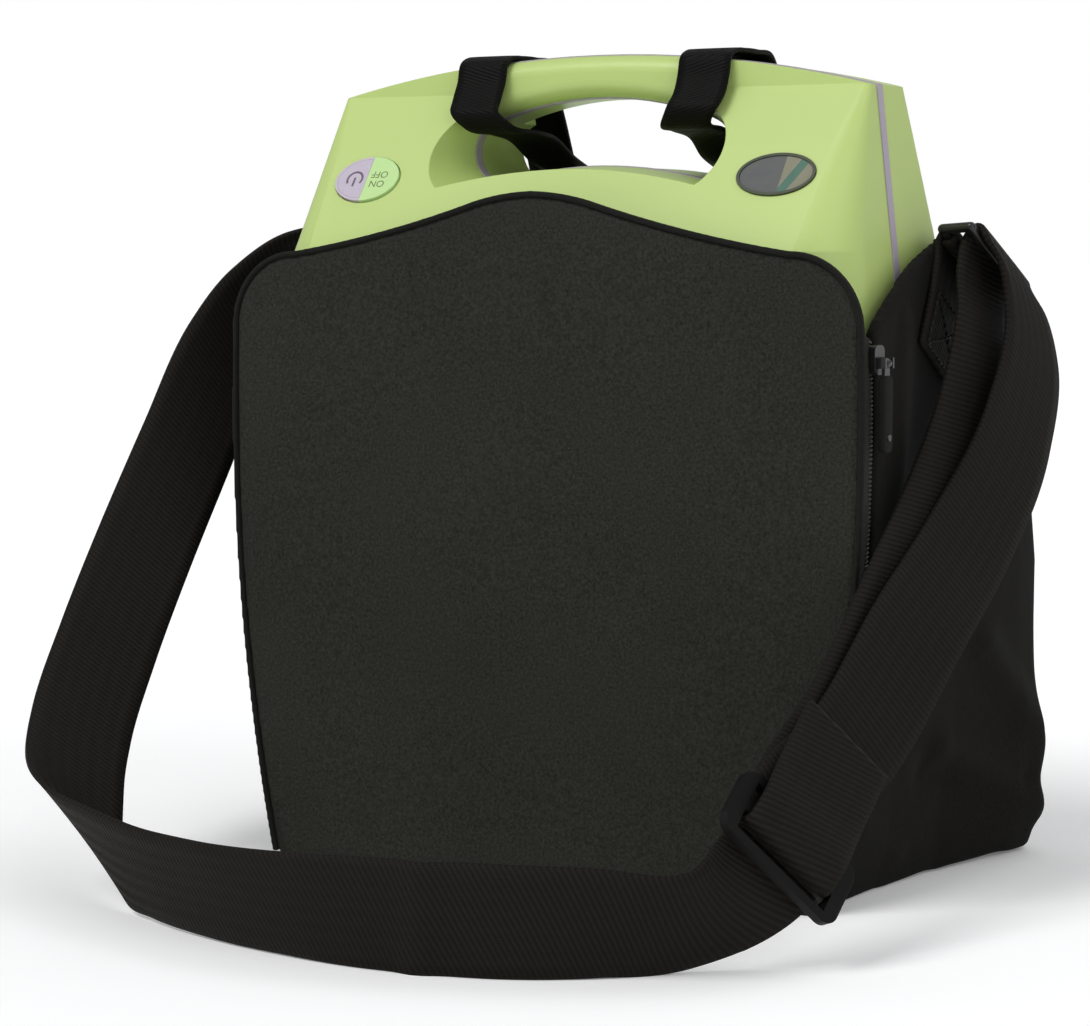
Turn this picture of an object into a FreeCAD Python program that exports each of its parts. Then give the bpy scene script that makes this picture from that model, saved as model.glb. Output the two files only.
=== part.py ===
"""Portable automated external defibrillator standing in its soft carry case.

Frame: millimetres, +Z up, front towards -Y, origin at the centre of the case's flat bottom.
The unit is a lid and a rear housing that meet at a seam bezel, with a control panel behind
the lid.  The case is a padded fabric shell with a zipped front flap, handle straps, side
rings and a shoulder strap that lies on the ground in front.
"""
import FreeCAD, Part
import math, os

V = FreeCAD.Vector
UP = V(0, 0, 1)
ALONG_X, ALONG_Y = V(1, 0, 0), V(0, 1, 0)

# ---------------------------------------------------------------- driving dimensions (mm)
# defibrillator unit
unit_half = 120.5            # half the width at the widest height
unit_bottom = 3.5            # underside of the unit, which is the case floor's thickness
unit_belly = 165.0           # height of the widest place
unit_rear = 66.5             # rear face of the unit
lid_front = -66.3            # front face of the lid
lid_brow = -24.5             # front face of the lid at its top
crown_height = 296.0         # top of the handle
knee_height = 225.0          # where the lid's upright front starts to lean back
brow_drop = 13.0             # from the top down to where the leaning front ends
brow_height = crown_height - brow_drop
crown_radius = 455.0         # arch of the top outline
side_radius = 793.5          # curve of the sides below the belly
shoulder_radius = 250.0      # curve of the sides just above the belly
shoulder_lean = 6.4          # degrees that the sides lean in above the shoulder
wall = 3.0                   # housing wall
seam_front = -19.5           # seam bezel, front face
seam_back = -15.0            # seam bezel, rear face
seam_proud = 0.4             # how far the bezel stands out of the housing
lid_corner = 24.0            # radius of the lid's upright corners
brow_corner = 2.5            # the same at the lid's top
rear_corner = 18.0           # radius of the rear housing's upright corners
rear_top_corner = 6.0        # the same at the top
rear_slope_foot = 130.0      # height where the rear face starts to lean forward
rear_slope_mid = (28.0, brow_height - 54.0)   # rear face: y and z of the change of slope
rear_slope_top = 8.0         # rear face at the brow height

# handle and its opening
grip_half = 46.0             # half the length of the rounded grip
grip_front, grip_back = -25.2, 7.0
grip_round = 6.0
opening_half = 54.0          # half the width of the finger opening
lip_below = 40.0             # from the top down to the opening's lower lip
lip_height = crown_height - lip_below
lip_drop = 6.0               # how much lower the lip is at its ends
grip_thick = 15.0            # the grip's height at the middle
grip_under = crown_height - grip_thick
grip_under_drop = 8.0        # how much lower it is at the grip's ends
flare = 16.0                 # how much wider the opening gets at the lid's front

# lid face
arch_rise = 27.5             # of the raised lower face above the knee, at the middle
arch_height = knee_height + arch_rise
arch_end = (101.0, knee_height + 4.0)    # where the raised face's edge ends
recess_half = 102.0          # recessed band round the button and the window
recess_depth = 1.2
control_x = 84.0             # button and window, distance from the middle
control_share = 0.4586       # how far up the leaning face their centres are
control_z = knee_height + control_share * (brow_height - knee_height)
recess_over = 10.4           # from their centres up to the recessed band's end
button_half = (13.6, 9.9)    # half axes of the oval power button
button_gap = 0.35
button_stands = 0.7          # how far the button stands out
button_travel = 1.2
window_half = (15.1, 9.1)    # half axes of the oval status window
window_rim = 1.2

# control panel and electronics
panel_inset = 9.0            # from the housing's side to the panel's edge
panel_low, panel_high = 14.0, lip_height - 16.0
panel_thick = 3.0
flange_out = 3.0             # the panel's flange reaches this far behind the bezel
flange_thick = 2.0
overlay_thick = 0.6
shock_radius = 11.0
shock_place = (55.0, 78.0)   # x, z
shock_gap = 0.3
shock_travel = 1.5
lcd_size = (62.0, 24.0)
lcd_place = (0.0, 152.0)
speaker_radius = 24.0
speaker_place = (-50.0, 62.0)
board_size = (150.0, 96.0)
board_place = (0.0, 160.0)
board_thick = 1.6
boss_height = 5.0
capacitor_radius = 19.0
capacitor_length = 70.0
cell_radius, cell_length = 8.5, 34.5
cell_pitch = 17.6
cells_per_row = 5
door_thick = 3.0
screw_places = ((93.0, 34.0), (93.0, 200.0))
screw_radius = 1.6
boss_radius = 5.0

# soft case
case_half = 127.0            # half the width at the widest height
case_front = -71.0           # front face of the flap
case_rear = 76.0             # rear face of the padded back
case_radius = 800.0          # curve of the case's side edges
rear_half = 125.4            # half the width at the back, at its widest
rear_belly = 150.0
rear_radius = 1200.0
case_corner = 16.0           # rear corners
fabric = 4.0                 # padded fabric of the sides
back_pad = 8.5               # padded back
flap_thick = 3.7
flap_rim = 8.7               # depth of the flap's side return
flap_apex = 244.5            # top of the flap at the middle
flap_shoulder = (100.0, 223.5)
notch_height = 197.0         # where flap and side panel part
fold_height = 56.0           # the line about which the flap folds down
soft_gap = 0.3               # between the flap and what lies next to it
zip_wide = 3.0
tab_peak = 232.0             # top of the side panels
back_top = 188.0             # top of the back panel
pipe_out, pipe_deep = 1.5, 2.8
slider_height = 189.0        # the closed slider
slider_long, slider_wide, slider_thick = 10.0, 8.0, 2.2
pull_long, pull_wide, pull_thick = 30.0, 7.0, 1.6
pin_radius = 0.8

# straps
strap_wide, strap_thick = 38.0, 1.8
grip_strap_wide, grip_strap_thick = 20.0, 1.8
back_tail = 226.0            # where the grip straps are sewn to the back panel
bar_radius = 1.8             # wire of the side rings
ring_drop = 11.0             # between the ring's two long bars
ring_place = (129.2, 18.0, 221.0)
tab_long = 44.0              # the tab's sewn length below its ring
glide_size = (52.0, 24.0, 3.5)
glide_slot = (41.0, 7.0)
loop_gap = 0.35              # webbing to the bar that it wraps


# ---------------------------------------------------------------- helpers
def wire_xz(start, steps, y):
    """Wire through steps at depth y.  (x, z) ends a line, (via x, via z, x, z) ends an arc."""
    edges, here = [], V(start[0], y, start[1])
    for step in steps:
        end = V(step[-2], y, step[-1])
        if len(step) == 2:
            edges.append(Part.LineSegment(here, end).toShape())
        else:
            edges.append(Part.Arc(here, V(step[0], y, step[1]), end).toShape())
        here = end
    return edges


def symmetric_wire(start, steps, y):
    """Closed wire from its right half, which starts and ends on the middle plane."""
    half = wire_xz(start, steps, y)
    mirrored = [edge.mirror(V(0, 0, 0), ALONG_X) for edge in half]
    return Part.Wire(Part.__sortEdges__(half + mirrored))


def plate_y(wire, depth):
    return Part.Face(wire).extrude(V(0, depth, 0))


def box(x0, x1, y0, y1, z0, z1):
    return Part.makeBox(x1 - x0, y1 - y0, z1 - z0, V(x0, y0, z0))


def rod(centre, direction, length, radius):
    return Part.makeCylinder(radius, length, centre, direction)


def mirrored(shape):
    return shape.mirror(V(0, 0, 0), ALONG_X)


def section(z, half, face, back, radius):
    """Horizontal outline: open side at back, two rounded corners at face."""
    toward = 1.0 if back > face else -1.0
    corner, bend = face + toward * radius, radius * math.sqrt(0.5)
    left, right = -half + radius, half - radius
    p = [V(-half, back, z), V(-half, corner, z), V(left - bend, corner - toward * bend, z),
         V(left, face, z), V(right, face, z), V(right + bend, corner - toward * bend, z),
         V(half, corner, z), V(half, back, z)]
    line = Part.LineSegment
    parts = [line(p[0], p[1]), Part.Arc(p[1], p[2], p[3]), line(p[3], p[4]),
             Part.Arc(p[4], p[5], p[6]), line(p[6], p[7]), line(p[7], p[0])]
    return Part.Wire([part.toShape() for part in parts])


def between(z, low, high):
    """The share of the way from one (height, value) pair to the next."""
    return low[1] + (high[1] - low[1]) * (z - low[0]) / (high[0] - low[0])


# ---------------------------------------------------------------- forms of the unit
def unit_width(z):
    lean = math.radians(shoulder_lean)
    top = unit_belly + shoulder_radius * math.sin(lean)
    if z <= unit_belly:
        return unit_half - (unit_belly - z) ** 2 / (2 * side_radius)
    rise = min(z, top) - unit_belly
    return unit_half - rise ** 2 / (2 * shoulder_radius) - max(0.0, z - top) * math.tan(lean)


def lid_face(z):
    if z <= knee_height:
        return lid_front
    return min(lid_brow, between(z, (knee_height, lid_front), (brow_height, lid_brow)))


def lid_radius(z):
    if z <= knee_height:
        return lid_corner
    return max(brow_corner, between(z, (knee_height, lid_corner), (brow_height, brow_corner)))


def rear_face(z):
    mid_y, mid_z = rear_slope_mid
    if z <= rear_slope_foot:
        return unit_rear
    if z <= mid_z:
        return between(z, (rear_slope_foot, unit_rear), (mid_z, mid_y))
    return max(rear_slope_top, between(z, (mid_z, mid_y), (brow_height, rear_slope_top)))


def rear_radius_at(z):
    if z <= rear_slope_foot:
        return rear_corner
    return max(rear_top_corner,
               between(z, (rear_slope_foot, rear_corner), (brow_height, rear_top_corner)))


def crown(inset, y0, y1):
    """Everything below the arched top outline, between two depths."""
    reach = unit_half + 6
    radius = crown_radius - inset
    centre = crown_height - crown_radius
    end = centre + math.sqrt(radius ** 2 - reach ** 2)
    steps = [(reach, 0), (reach, end)]
    half = wire_xz((0, 0), steps, y0)
    arch = Part.Arc(V(reach, y0, end), V(0, y0, centre + radius), V(-reach, y0, end)).toShape()
    wire = Part.Wire(Part.__sortEdges__(half + [e.mirror(V(0, 0, 0), ALONG_X) for e in half]
                                        + [arch]))
    return plate_y(wire, y1 - y0)


def unit_form(face, corner, back, inset):
    """Half of the unit as a solid: face(z) and corner(z) shape it, back is its flat side."""
    toward = 1.0 if back > face(0) else -1.0
    floor = unit_bottom + inset
    levels = [(floor, 6.0), (floor + 2.5, 2.2), (floor + 7.5, 0.0)]
    levels += [(z, 0.0) for z in (45.0, 85.0, rear_slope_foot, unit_belly, 179.0, 193.0,
                                  knee_height, rear_slope_mid[1], brow_height, crown_height + 6)]
    wires = []
    for z, shrink in levels:
        take = inset + shrink
        wires.append(section(z, unit_width(z) - take, face(z) + toward * take, back,
                             max(0.8, corner(z) - inset)))
    body = Part.makeLoft(wires, True, True)
    return body.common(crown(inset, -100, 100))


def bezel_form(grow, y0, y1):
    """The unit's outline as a plate, larger by grow."""
    levels = [(unit_bottom, 6.0), (unit_bottom + 2.5, 2.2), (unit_bottom + 7.5, 0.0)]
    levels += [(z, 0.0) for z in (45.0, 85.0, rear_slope_foot, unit_belly, 179.0, 193.0,
                                  knee_height, rear_slope_mid[1], brow_height, crown_height + 6)]
    wires = []
    for z, shrink in levels:
        half = unit_width(z) + grow - shrink
        corners = [V(-half, y0, z), V(half, y0, z), V(half, y1, z), V(-half, y1, z)]
        wires.append(Part.makePolygon(corners + corners[:1]))
    return Part.makeLoft(wires, True, True).common(crown(-grow, -100, 100))


def opening_wire(grow, lift, y):
    """Outline of the finger opening, wider by grow and with its lip lower by lift."""
    low, high = lip_height - lift, grip_under + grow
    end_x = opening_half - 10 + grow
    steps = [(end_x / 2, low - lip_drop / 4, end_x, low - lip_drop),
             (opening_half + grow, (low + high) / 2 - 6, grip_half + grow, high - grip_under_drop),
             (grip_half / 2 + grow / 2, high - grip_under_drop / 4, 0, high)]
    return symmetric_wire((0, low), steps, y)


def opening(grow, y0, y1):
    return plate_y(opening_wire(grow, grow, y0), y1 - y0)


def lid_opening(grow):
    """The finger opening through the lid, flared towards the front."""
    front = opening_wire(flare + grow, 3.0 + grow, -70.0)
    return Part.makeLoft([front, opening_wire(grow, grow, seam_front)], True, True)


def grip(grow):
    """The rounded grip over the opening, thickest at its ends."""
    wires = []
    for share in (-1.0, -0.5, 0.0, 0.5, 1.0):
        x = share * grip_half
        top = crown_height - crown_radius + math.sqrt(crown_radius ** 2 - x ** 2) + grow
        low = grip_under - grip_under_drop * share ** 2 - grow
        front, back, r = grip_front - grow, grip_back + grow, grip_round
        k = r * (1 - math.sqrt(0.5))
        p = [(front, low + r), (front, top - r), (front + k, top - k), (front + r, top),
             (back - r, top), (back - k, top - k), (back, top - r), (back, low + r),
             (back - k, low + k), (back - r, low), (front + r, low), (front + k, low + k)]
        q = [V(x, y, z) for y, z in p]
        edges = [Part.LineSegment(q[0], q[1]), Part.Arc(q[1], q[2], q[3]),
                 Part.LineSegment(q[3], q[4]), Part.Arc(q[4], q[5], q[6]),
                 Part.LineSegment(q[6], q[7]), Part.Arc(q[7], q[8], q[9]),
                 Part.LineSegment(q[9], q[10]), Part.Arc(q[10], q[11], q[0])]
        wires.append(Part.Wire([edge.toShape() for edge in edges]))
    return Part.makeLoft(wires, True, False)


def grip_zone(y0, y1):
    """The part of the housing that the grip replaces."""
    return box(-grip_half, grip_half, y0, y1, (lip_height + grip_under) / 2, crown_height + 20)


# the lid's leaning face: a frame for the button and the window
lean_run = (lid_brow - lid_front) / (brow_height - knee_height)
lean_out = V(0, -1, lean_run).normalize()        # out of the face
lean_up = V(0, lean_run, 1).normalize()          # up along it
lid_skin = wall * math.cos(math.atan(lean_run))  # the lid's wall, square to the face
window_seat = 0.82 * lid_skin                    # depth of the window's pocket


def lean_point(x, depth):
    """A point under the leaning face at the controls' height."""
    return V(x, lid_face(control_z), control_z) - lean_out * depth


def oval(x, half, depth0, depth1):
    """Oval prism square to the leaning face, from depth0 down to depth1 (0 is the surface)."""
    centre = lean_point(x, depth1)
    if half[0] >= half[1]:
        curve = Part.Ellipse(centre + ALONG_X * half[0], centre + lean_up * half[1], centre)
    else:
        curve = Part.Ellipse(centre + lean_up * half[1], centre + ALONG_X * half[0], centre)
    return Part.Face(Part.Wire(curve.toShape())).extrude(lean_out * (depth1 - depth0))


def grown(half, by):
    return (half[0] + by, half[1] + by)


# ---------------------------------------------------------------- the unit's housing
def front_lid():
    outer = unit_form(lid_face, lid_radius, seam_front, 0)
    arch_steps = [(arch_end[0], knee_height - 40), arch_end,
                  (60.0, 238.6, 26.0, arch_height - 3), (14.0, arch_height - 0.8, 0, arch_height)]
    arch = plate_y(symmetric_wire((0, knee_height - 40), arch_steps, lid_front),
                   seam_front - lid_front)
    rim = [edge for edge in arch.Edges
           if edge.BoundBox.YMax < lid_front + 0.01 and edge.BoundBox.ZMin > knee_height]
    arch = arch.makeFillet(2.4, rim)
    upright = unit_form(lambda z: lid_front, lambda z: lid_corner, seam_front, 0)
    recess_top = control_z + recess_over
    recess = Part.Face(Part.makePolygon([V(0, lid_face(z) + push, z) for z, push in (
        (knee_height, recess_depth), (recess_top, 0.0), (recess_top, -30.0), (knee_height, -30.0),
        (knee_height, recess_depth))])).extrude(ALONG_X * (2 * recess_half))
    recess.translate(V(-recess_half, 0, 0))
    outer = outer.cut(recess).fuse(arch.common(upright))
    hollow = unit_form(lid_face, lid_radius, seam_front + 1, wall)
    hollow = hollow.common(box(-200, 200, -100, seam_front + 1, 0, brow_height - wall))
    lid = outer.cut(hollow.cut(lid_opening(wall))).cut(lid_opening(0))
    lid = lid.cut(grip_zone(-80, seam_front))
    lid = lid.fuse(grip(0).common(box(-99, 99, -99, seam_front, 0, 400))).removeSplitter()
    lid = lid.cut(oval(-control_x, grown(button_half, button_gap), -5, 12))
    lid = lid.cut(oval(control_x, window_half, -5, window_seat))
    return lid.cut(oval(control_x, grown(window_half, -2.5), -5, 12))


def seam_bezel():
    plate = bezel_form(seam_proud, seam_front, seam_back)
    plate = plate.cut(opening(-seam_proud, seam_front - 1, seam_back + 1))
    plate = plate.cut(grip_zone(seam_front - 1, seam_back + 1))
    plate = plate.fuse(grip(seam_proud).common(box(-99, 99, seam_front, seam_back, 0, 400)))
    return plate.cut(panel_form(0.2, seam_front - 1, seam_back + 1))


def rear_housing():
    outer = unit_form(rear_face, rear_radius_at, seam_back, 0)
    hollow = unit_form(rear_face, rear_radius_at, seam_back - 1, wall)
    hollow = hollow.common(box(-200, 200, seam_back - 1, 100, 0, brow_height - 2 * wall))
    hollow = hollow.cut(opening(wall, seam_back - 2, 90))
    hollow = hollow.cut(grip_zone(-80, 80))
    shell = outer.cut(hollow).cut(opening(0, seam_back - 1, 90))
    shell = shell.cut(grip_zone(seam_back - 1, 90))
    shell = shell.fuse(grip(0).common(box(-99, 99, seam_back, 99, 0, 400)))
    for x, z in screw_spots():
        post = rod(V(x, seam_back + flange_thick, z), ALONG_Y,
                   rear_face(z) - seam_back - flange_thick - 1, boss_radius)
        shell = shell.fuse(post.common(outer))
    for x, z in screw_spots():
        shell = shell.cut(rod(V(x, -40, z), ALONG_Y, 140, screw_radius + 0.15))
        shell = shell.cut(rod(V(x, rear_face(z) - 9, z), ALONG_Y, 40, 2 * screw_radius + 0.4))
    return shell.cut(door_form(0.25)).cut(well_form(0.25))


def screw_spots():
    return [(side * x, z) for x, z in screw_places for side in (-1, 1)]


def housing_screws():
    """Four long screws that draw the rear housing to the control panel."""
    screws = []
    for x, z in screw_spots():
        seat = rear_face(z) - 9
        screw = rod(V(x, seam_back - panel_thick, z), ALONG_Y, seat - seam_back + panel_thick,
                    screw_radius)
        head = rod(V(x, seat, z), ALONG_Y, 2.4, 2 * screw_radius)
        slot = box(x - 2.2, x + 2.2, seat + 1.4, seat + 3, z - 0.4, z + 0.4)
        screws.append(screw.fuse(head).cut(slot))
    return Part.makeCompound(screws)


# ---------------------------------------------------------------- button and window
def power_button():
    """Translucent oval key with a flange under the lid; the left half takes the symbol."""
    key = oval(-control_x, button_half, -button_stands, lid_skin + 1.4)
    flange = oval(-control_x, grown(button_half, 1.6), lid_skin + 0.3, lid_skin + 1.4)
    return key.fuse(flange).removeSplitter().cut(symbol_form(0.0))


def symbol_form(gap):
    left = oval(-control_x, grown(button_half, -0.9 - gap), -button_stands - 1, 0.3 - gap)
    keep = box(-control_x - 40, -control_x - gap, -90, 0, 200, 300)
    return left.common(keep)


def power_symbol():
    """Lilac insert let into the key, flush with its face."""
    level = oval(-control_x, grown(button_half, 5), -button_stands, 2)
    return symbol_form(0.1).common(level)


def power_switch():
    top = lean_point(-control_x, lid_skin + 1.4 + button_travel + 0.1)
    return rod(top, lean_out * -1, 3.5, 5.0)


def window_bezel():
    ring = oval(control_x, grown(window_half, -0.1), -0.3, window_seat)
    return ring.cut(oval(control_x, grown(window_half, -window_rim), -1, 3))


def status_window():
    return oval(control_x, grown(window_half, -window_rim - 0.05), 0.1, window_seat)


def status_display():
    """Indicator behind the window: a cell with a ready mark, clipped under the lid."""
    cell = oval(control_x, (14.8, 9.3), lid_skin + 0.1, lid_skin + 3.0)
    return cell.fuse(oval(control_x, grown(window_half, -2.7), window_seat + 0.1, lid_skin + 0.2))


# ---------------------------------------------------------------- control panel
def panel_form(grow, y0, y1):
    levels = (panel_low - grow, 45.0, 85.0, rear_slope_foot, unit_belly, 193.0,
              panel_high + grow)
    wires = []
    for z in levels:
        half = unit_width(z) - panel_inset + grow
        corners = [V(-half, y0, z), V(half, y0, z), V(half, y1, z), V(-half, y1, z)]
        wires.append(Part.makePolygon(corners + corners[:1]))
    return Part.makeLoft(wires, True, True)


def panel_face():
    return seam_back - panel_thick


def board_spots():
    x, z = board_size[0] / 2 - 6, board_size[1] / 2 - 6
    return [(board_place[0] + a * x, board_place[1] + b * z) for a in (-1, 1) for b in (-1, 1)]


def switch_post():
    """Pillar on the panel that carries the power switch up under the lid's button."""
    top = power_switch().BoundBox
    head = lean_point(-control_x, lid_skin + 1.4
                      + button_travel + 0.1 + 3.5)
    post = rod(head, lean_out * -1, 60, 5.5)
    return post.common(box(-200, 0, top.YMin, panel_face(), 0, 400)), head


def control_panel():
    panel = panel_form(0, panel_face(), seam_back)
    panel = panel.fuse(panel_form(flange_out, seam_back, seam_back + flange_thick))
    for x, z in board_spots():
        foot = seam_back + flange_thick
        panel = panel.fuse(rod(V(x, foot, z), ALONG_Y, boss_height, 3.5))
    post, head = switch_post()
    panel = panel.fuse(post)
    x, z = shock_place
    panel = panel.cut(rod(V(x, -30, z), ALONG_Y, 40, shock_radius + shock_gap))
    w, h = lcd_size
    lx, lz = lcd_place
    panel = panel.cut(box(lx - w / 2, lx + w / 2, -30, 10, lz - h / 2, lz + h / 2))
    panel = panel.cut(socket_hole(0.2))
    for x, z in screw_spots():
        panel = panel.cut(rod(V(x, -30, z), ALONG_Y, 40, screw_radius + 0.15))
    sx, sz = speaker_place
    for row in range(-3, 4):
        reach = math.sqrt((speaker_radius - 6) ** 2 - (5 * row) ** 2)
        slot = box(sx - reach, sx + reach, -30, 10, sz + 5 * row - 1, sz + 5 * row + 1)
        panel = panel.cut(slot)
    return panel


def graphics_overlay():
    """Printed film on the panel, cut out round the display, speaker, socket and buttons."""
    y = panel_face()
    film = panel_form(-6, y - overlay_thick, y)
    film = film.cut(box(-200, 200, -40, 0, panel_high - 30, 300))
    x, z = shock_place
    film = film.cut(rod(V(x, -40, z), ALONG_Y, 60, shock_radius + 3))
    lx, lz = lcd_place
    w, h = lcd_size[0] / 2 - 3, lcd_size[1] / 2 - 3
    film = film.cut(box(lx - w, lx + w, -40, 0, lz - h, lz + h))
    film = film.cut(rod(V(speaker_place[0], -40, speaker_place[1]), ALONG_Y, 60,
                        speaker_radius))
    for spot in lamp_spots():
        film = film.cut(rod(V(spot[0], -40, spot[1]), ALONG_Y, 60, 2.7))
    for x, z in screw_spots():
        film = film.cut(rod(V(x, -40, z), ALONG_Y, 60, 5))
    return film.cut(socket_hole(3))


def lamp_spots():
    return [(-72.0 + 24.0 * place, 192.0) for place in range(7)]


def indicator_lenses():
    y = panel_face()
    return Part.makeCompound([rod(V(x, y - 1.2, z), ALONG_Y, 1.2, 2.5)
                              for x, z in lamp_spots()])


def lcd_display():
    w, h = lcd_size
    x, z = lcd_place
    y = panel_face()
    glass = box(x - w / 2 + 0.2, x + w / 2 - 0.2, y, seam_back + flange_thick,
                z - h / 2 + 0.2, z + h / 2 - 0.2)
    back = seam_back + flange_thick
    return glass.fuse(box(x - w / 2 - 3, x + w / 2 + 3, back, back + 2.5,
                          z - h / 2 - 3, z + h / 2 + 3))


def shock_button():
    x, z = shock_place
    back = seam_back + flange_thick
    key = rod(V(x, panel_face() - 2, z), ALONG_Y, back + 2.2 - panel_face() + 2, shock_radius)
    flange = rod(V(x, back + 0.3, z), ALONG_Y, 1.9, shock_radius + 2)
    return key.fuse(flange).removeSplitter()


def shock_switch():
    """Bridge behind the panel that holds the shock button's contact."""
    x, z = shock_place
    back = seam_back + flange_thick
    near = back + 2.2 + shock_travel + 0.2
    legs = box(x - 18, x + 18, back, near + 4, z - 6, z + 6)
    return legs.cut(box(x - 14, x + 14, back - 1, near, z - 7, z + 7))


def speaker():
    x, z = speaker_place
    back = seam_back + flange_thick
    rim = rod(V(x, back, z), ALONG_Y, 3, speaker_radius)
    cone = Part.makeCone(speaker_radius - 2, 13, 9, V(x, back + 3, z), ALONG_Y)
    return rim.fuse(cone).fuse(rod(V(x, back + 12, z), ALONG_Y, 8, 15))


def microphone():
    radius = 5.0
    beside = board_place[0] - board_size[0] / 2 + 2 - radius
    return rod(V(beside, seam_back + flange_thick, board_place[1] - 40), ALONG_Y, 5, radius)


def socket_hole(grow):
    return box(44 - grow, 78 + grow, -30, 10, 34 - grow, 52 + grow)


def electrode_socket():
    """Keyed receptacle for the electrode lead."""
    y = panel_face()
    back = seam_back + flange_thick
    body = box(44, 78, y - 1.5, back + 12, 34, 52)
    body = body.fuse(box(41, 81, back, back + 2, 31, 55))
    return body.cut(box(48, 74, y - 5, back + 6, 37, 49))


def electrode_pack():
    """Sealed pouch of pads and rescue items, stowed inside the lid."""
    pouch = box(-84, 84, lid_front + wall + 0.2, -38, 32, 206)
    rim = [edge for edge in pouch.Edges if abs(edge.Vertexes[0].Y - edge.Vertexes[1].Y) > 1]
    pouch = pouch.makeFillet(14, rim)
    return pouch.makeFillet(6, [edge for edge in pouch.Edges if edge.BoundBox.YMin > -39])


def lid_latches():
    """Two spring hooks on the bezel that hold the lid's lower edge."""
    hooks = []
    for x in (-52, 52):
        hook = box(x - 8, x + 8, seam_front - 9, seam_front, 9.5, 12)
        hooks.append(hook.fuse(box(x - 8, x + 8, seam_front - 9, seam_front - 6, 9.5, 15)))
    return Part.makeCompound(hooks)


# ---------------------------------------------------------------- electronics
def board_front():
    return seam_back + flange_thick + boss_height


def main_board():
    x, z = board_place
    w, h = board_size
    y = board_front()
    board = box(x - w / 2, x + w / 2, y, y + board_thick, z - h / 2, z + h / 2)
    for px, pz in board_spots():
        board = board.cut(rod(V(px, y - 1, pz), ALONG_Y, 6, 1.3))
    return board


def capacitor():
    """High-voltage capacitor that stores the shock's energy."""
    x, z = board_place
    y = board_front() + board_thick + capacitor_radius
    can = rod(V(x - 66, y, z + 14), ALONG_X, capacitor_length, capacitor_radius)
    return can.makeFillet(2, can.Edges[0:1])


def transformer():
    x, z = board_place
    y = board_front() + board_thick
    core = box(x + 24, x + 58, y, y + 30, z - 2, z + 30)
    winding = box(x + 29, x + 53, y + 0.1, y + 34, z - 6, z + 34)
    return core.fuse(winding)


def cell_row():
    return (cells_per_row - 1) * cell_pitch / 2


def cell_depth():
    return unit_rear - door_thick - cell_radius - 0.6


def well_form(grow):
    half = cell_row() + cell_radius + 2.6 + grow
    return box(-half, half, cell_depth() - cell_radius - 2.4 - grow, unit_rear - door_thick,
               13.0 - grow, 13.0 + 2 * cell_length + 5.6 + grow)


def battery_well():
    """Open tray behind the door that holds two rows of cells."""
    tray = well_form(0)
    inner = tray.BoundBox
    return tray.cut(box(inner.XMin + 2, inner.XMax - 2, inner.YMin + 2, 100,
                        inner.ZMin + 2, inner.ZMax - 2))


def batteries():
    cells = []
    for row in range(2):
        for place in range(cells_per_row):
            x = place * cell_pitch - cell_row()
            low = 15.2 + row * (cell_length + 0.4)
            can = rod(V(x, cell_depth(), low), UP, cell_length - 1.2, cell_radius)
            cells.append(can.fuse(rod(V(x, cell_depth(), low + cell_length - 1.2), UP, 1.2, 3)))
    return Part.makeCompound(cells)


def door_form(grow):
    half = cell_row() + cell_radius + 6 + grow
    return box(-half, half, unit_rear - door_thick, unit_rear + 9,
               11.0 - grow, 13.0 + 2 * cell_length + 9 + grow)


def battery_door():
    door = door_form(0).common(unit_form(rear_face, rear_radius_at, seam_back, 0))
    latch = box(-12, 12, unit_rear - 0.9, unit_rear + 1, 80, 85)
    return door.cut(latch)


# ---------------------------------------------------------------- soft case
def case_width(z):
    return case_half - (z - unit_belly) ** 2 / (2 * case_radius)


def rear_width(z):
    return rear_half - (z - rear_belly) ** 2 / (2 * rear_radius)


def case_back(z):
    """Outer rear face of the case, which follows the unit's sloping back."""
    return rear_face(z) + case_rear - unit_rear


def flap_wire(inset, y):
    """Outline of the whole front panel, from the ground up to its arched top."""
    def side(z):
        return case_width(z) - inset
    shoulder_x, shoulder_z = flap_shoulder
    steps = [(side(inset), inset), (side(notch_height / 2), notch_height / 2,
                                    side(notch_height), notch_height),
             (119.5 - inset * 0.8, 215.5 - inset * 0.6, shoulder_x - inset * 0.2,
              shoulder_z - inset),
             (60.0, 231.0 - inset, 22.0, flap_apex - 3.2 - inset),
             (12.0, flap_apex - 1.1 - inset, 0, flap_apex - inset)]
    return symmetric_wire((0, inset), steps, y)


def front_panel(rim):
    """Front of the case as a shallow tray: the padded face and its side return."""
    face = plate_y(flap_wire(0, case_front), rim)
    inside = plate_y(flap_wire(fabric - 0.5, case_front + flap_thick), rim)
    top = box(-200, 200, case_front + flap_thick, 0, notch_height, 300)
    return face.cut(inside).cut(top)


def front_flap():
    return front_panel(flap_rim).common(box(-200, 200, -99, 0, fold_height, 300))


def lower_front_panel():
    """The fixed foot of the front, whose side return reaches back to the side panels."""
    lower = front_panel(zip_back() - case_front)
    lower = lower.common(box(-200, 200, -99, 0, 0, fold_height - soft_gap))
    return lower.cut(box(-200, 200, case_front + flap_thick, 0, -1, unit_bottom))


def piping():
    """Raised cord sewn round the front panel's edge."""
    outer = plate_y(Part.Face(flap_wire(0, case_front - 1)).makeOffset2D(pipe_out).OuterWire,
                    pipe_deep)
    ring = outer.cut(plate_y(flap_wire(0, case_front - 1.5), pipe_deep + 1))
    return ring.common(box(-200, 200, -99, 0, 0, 300))


def flap_piping():
    return piping().common(box(-200, 200, -99, 0, fold_height, 300))


def lower_piping():
    return piping().common(box(-200, 200, -99, 0, 1.0, fold_height - soft_gap))


def zip_front():
    return case_front + flap_rim + soft_gap


def zip_back():
    return zip_front() + zip_wide


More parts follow.
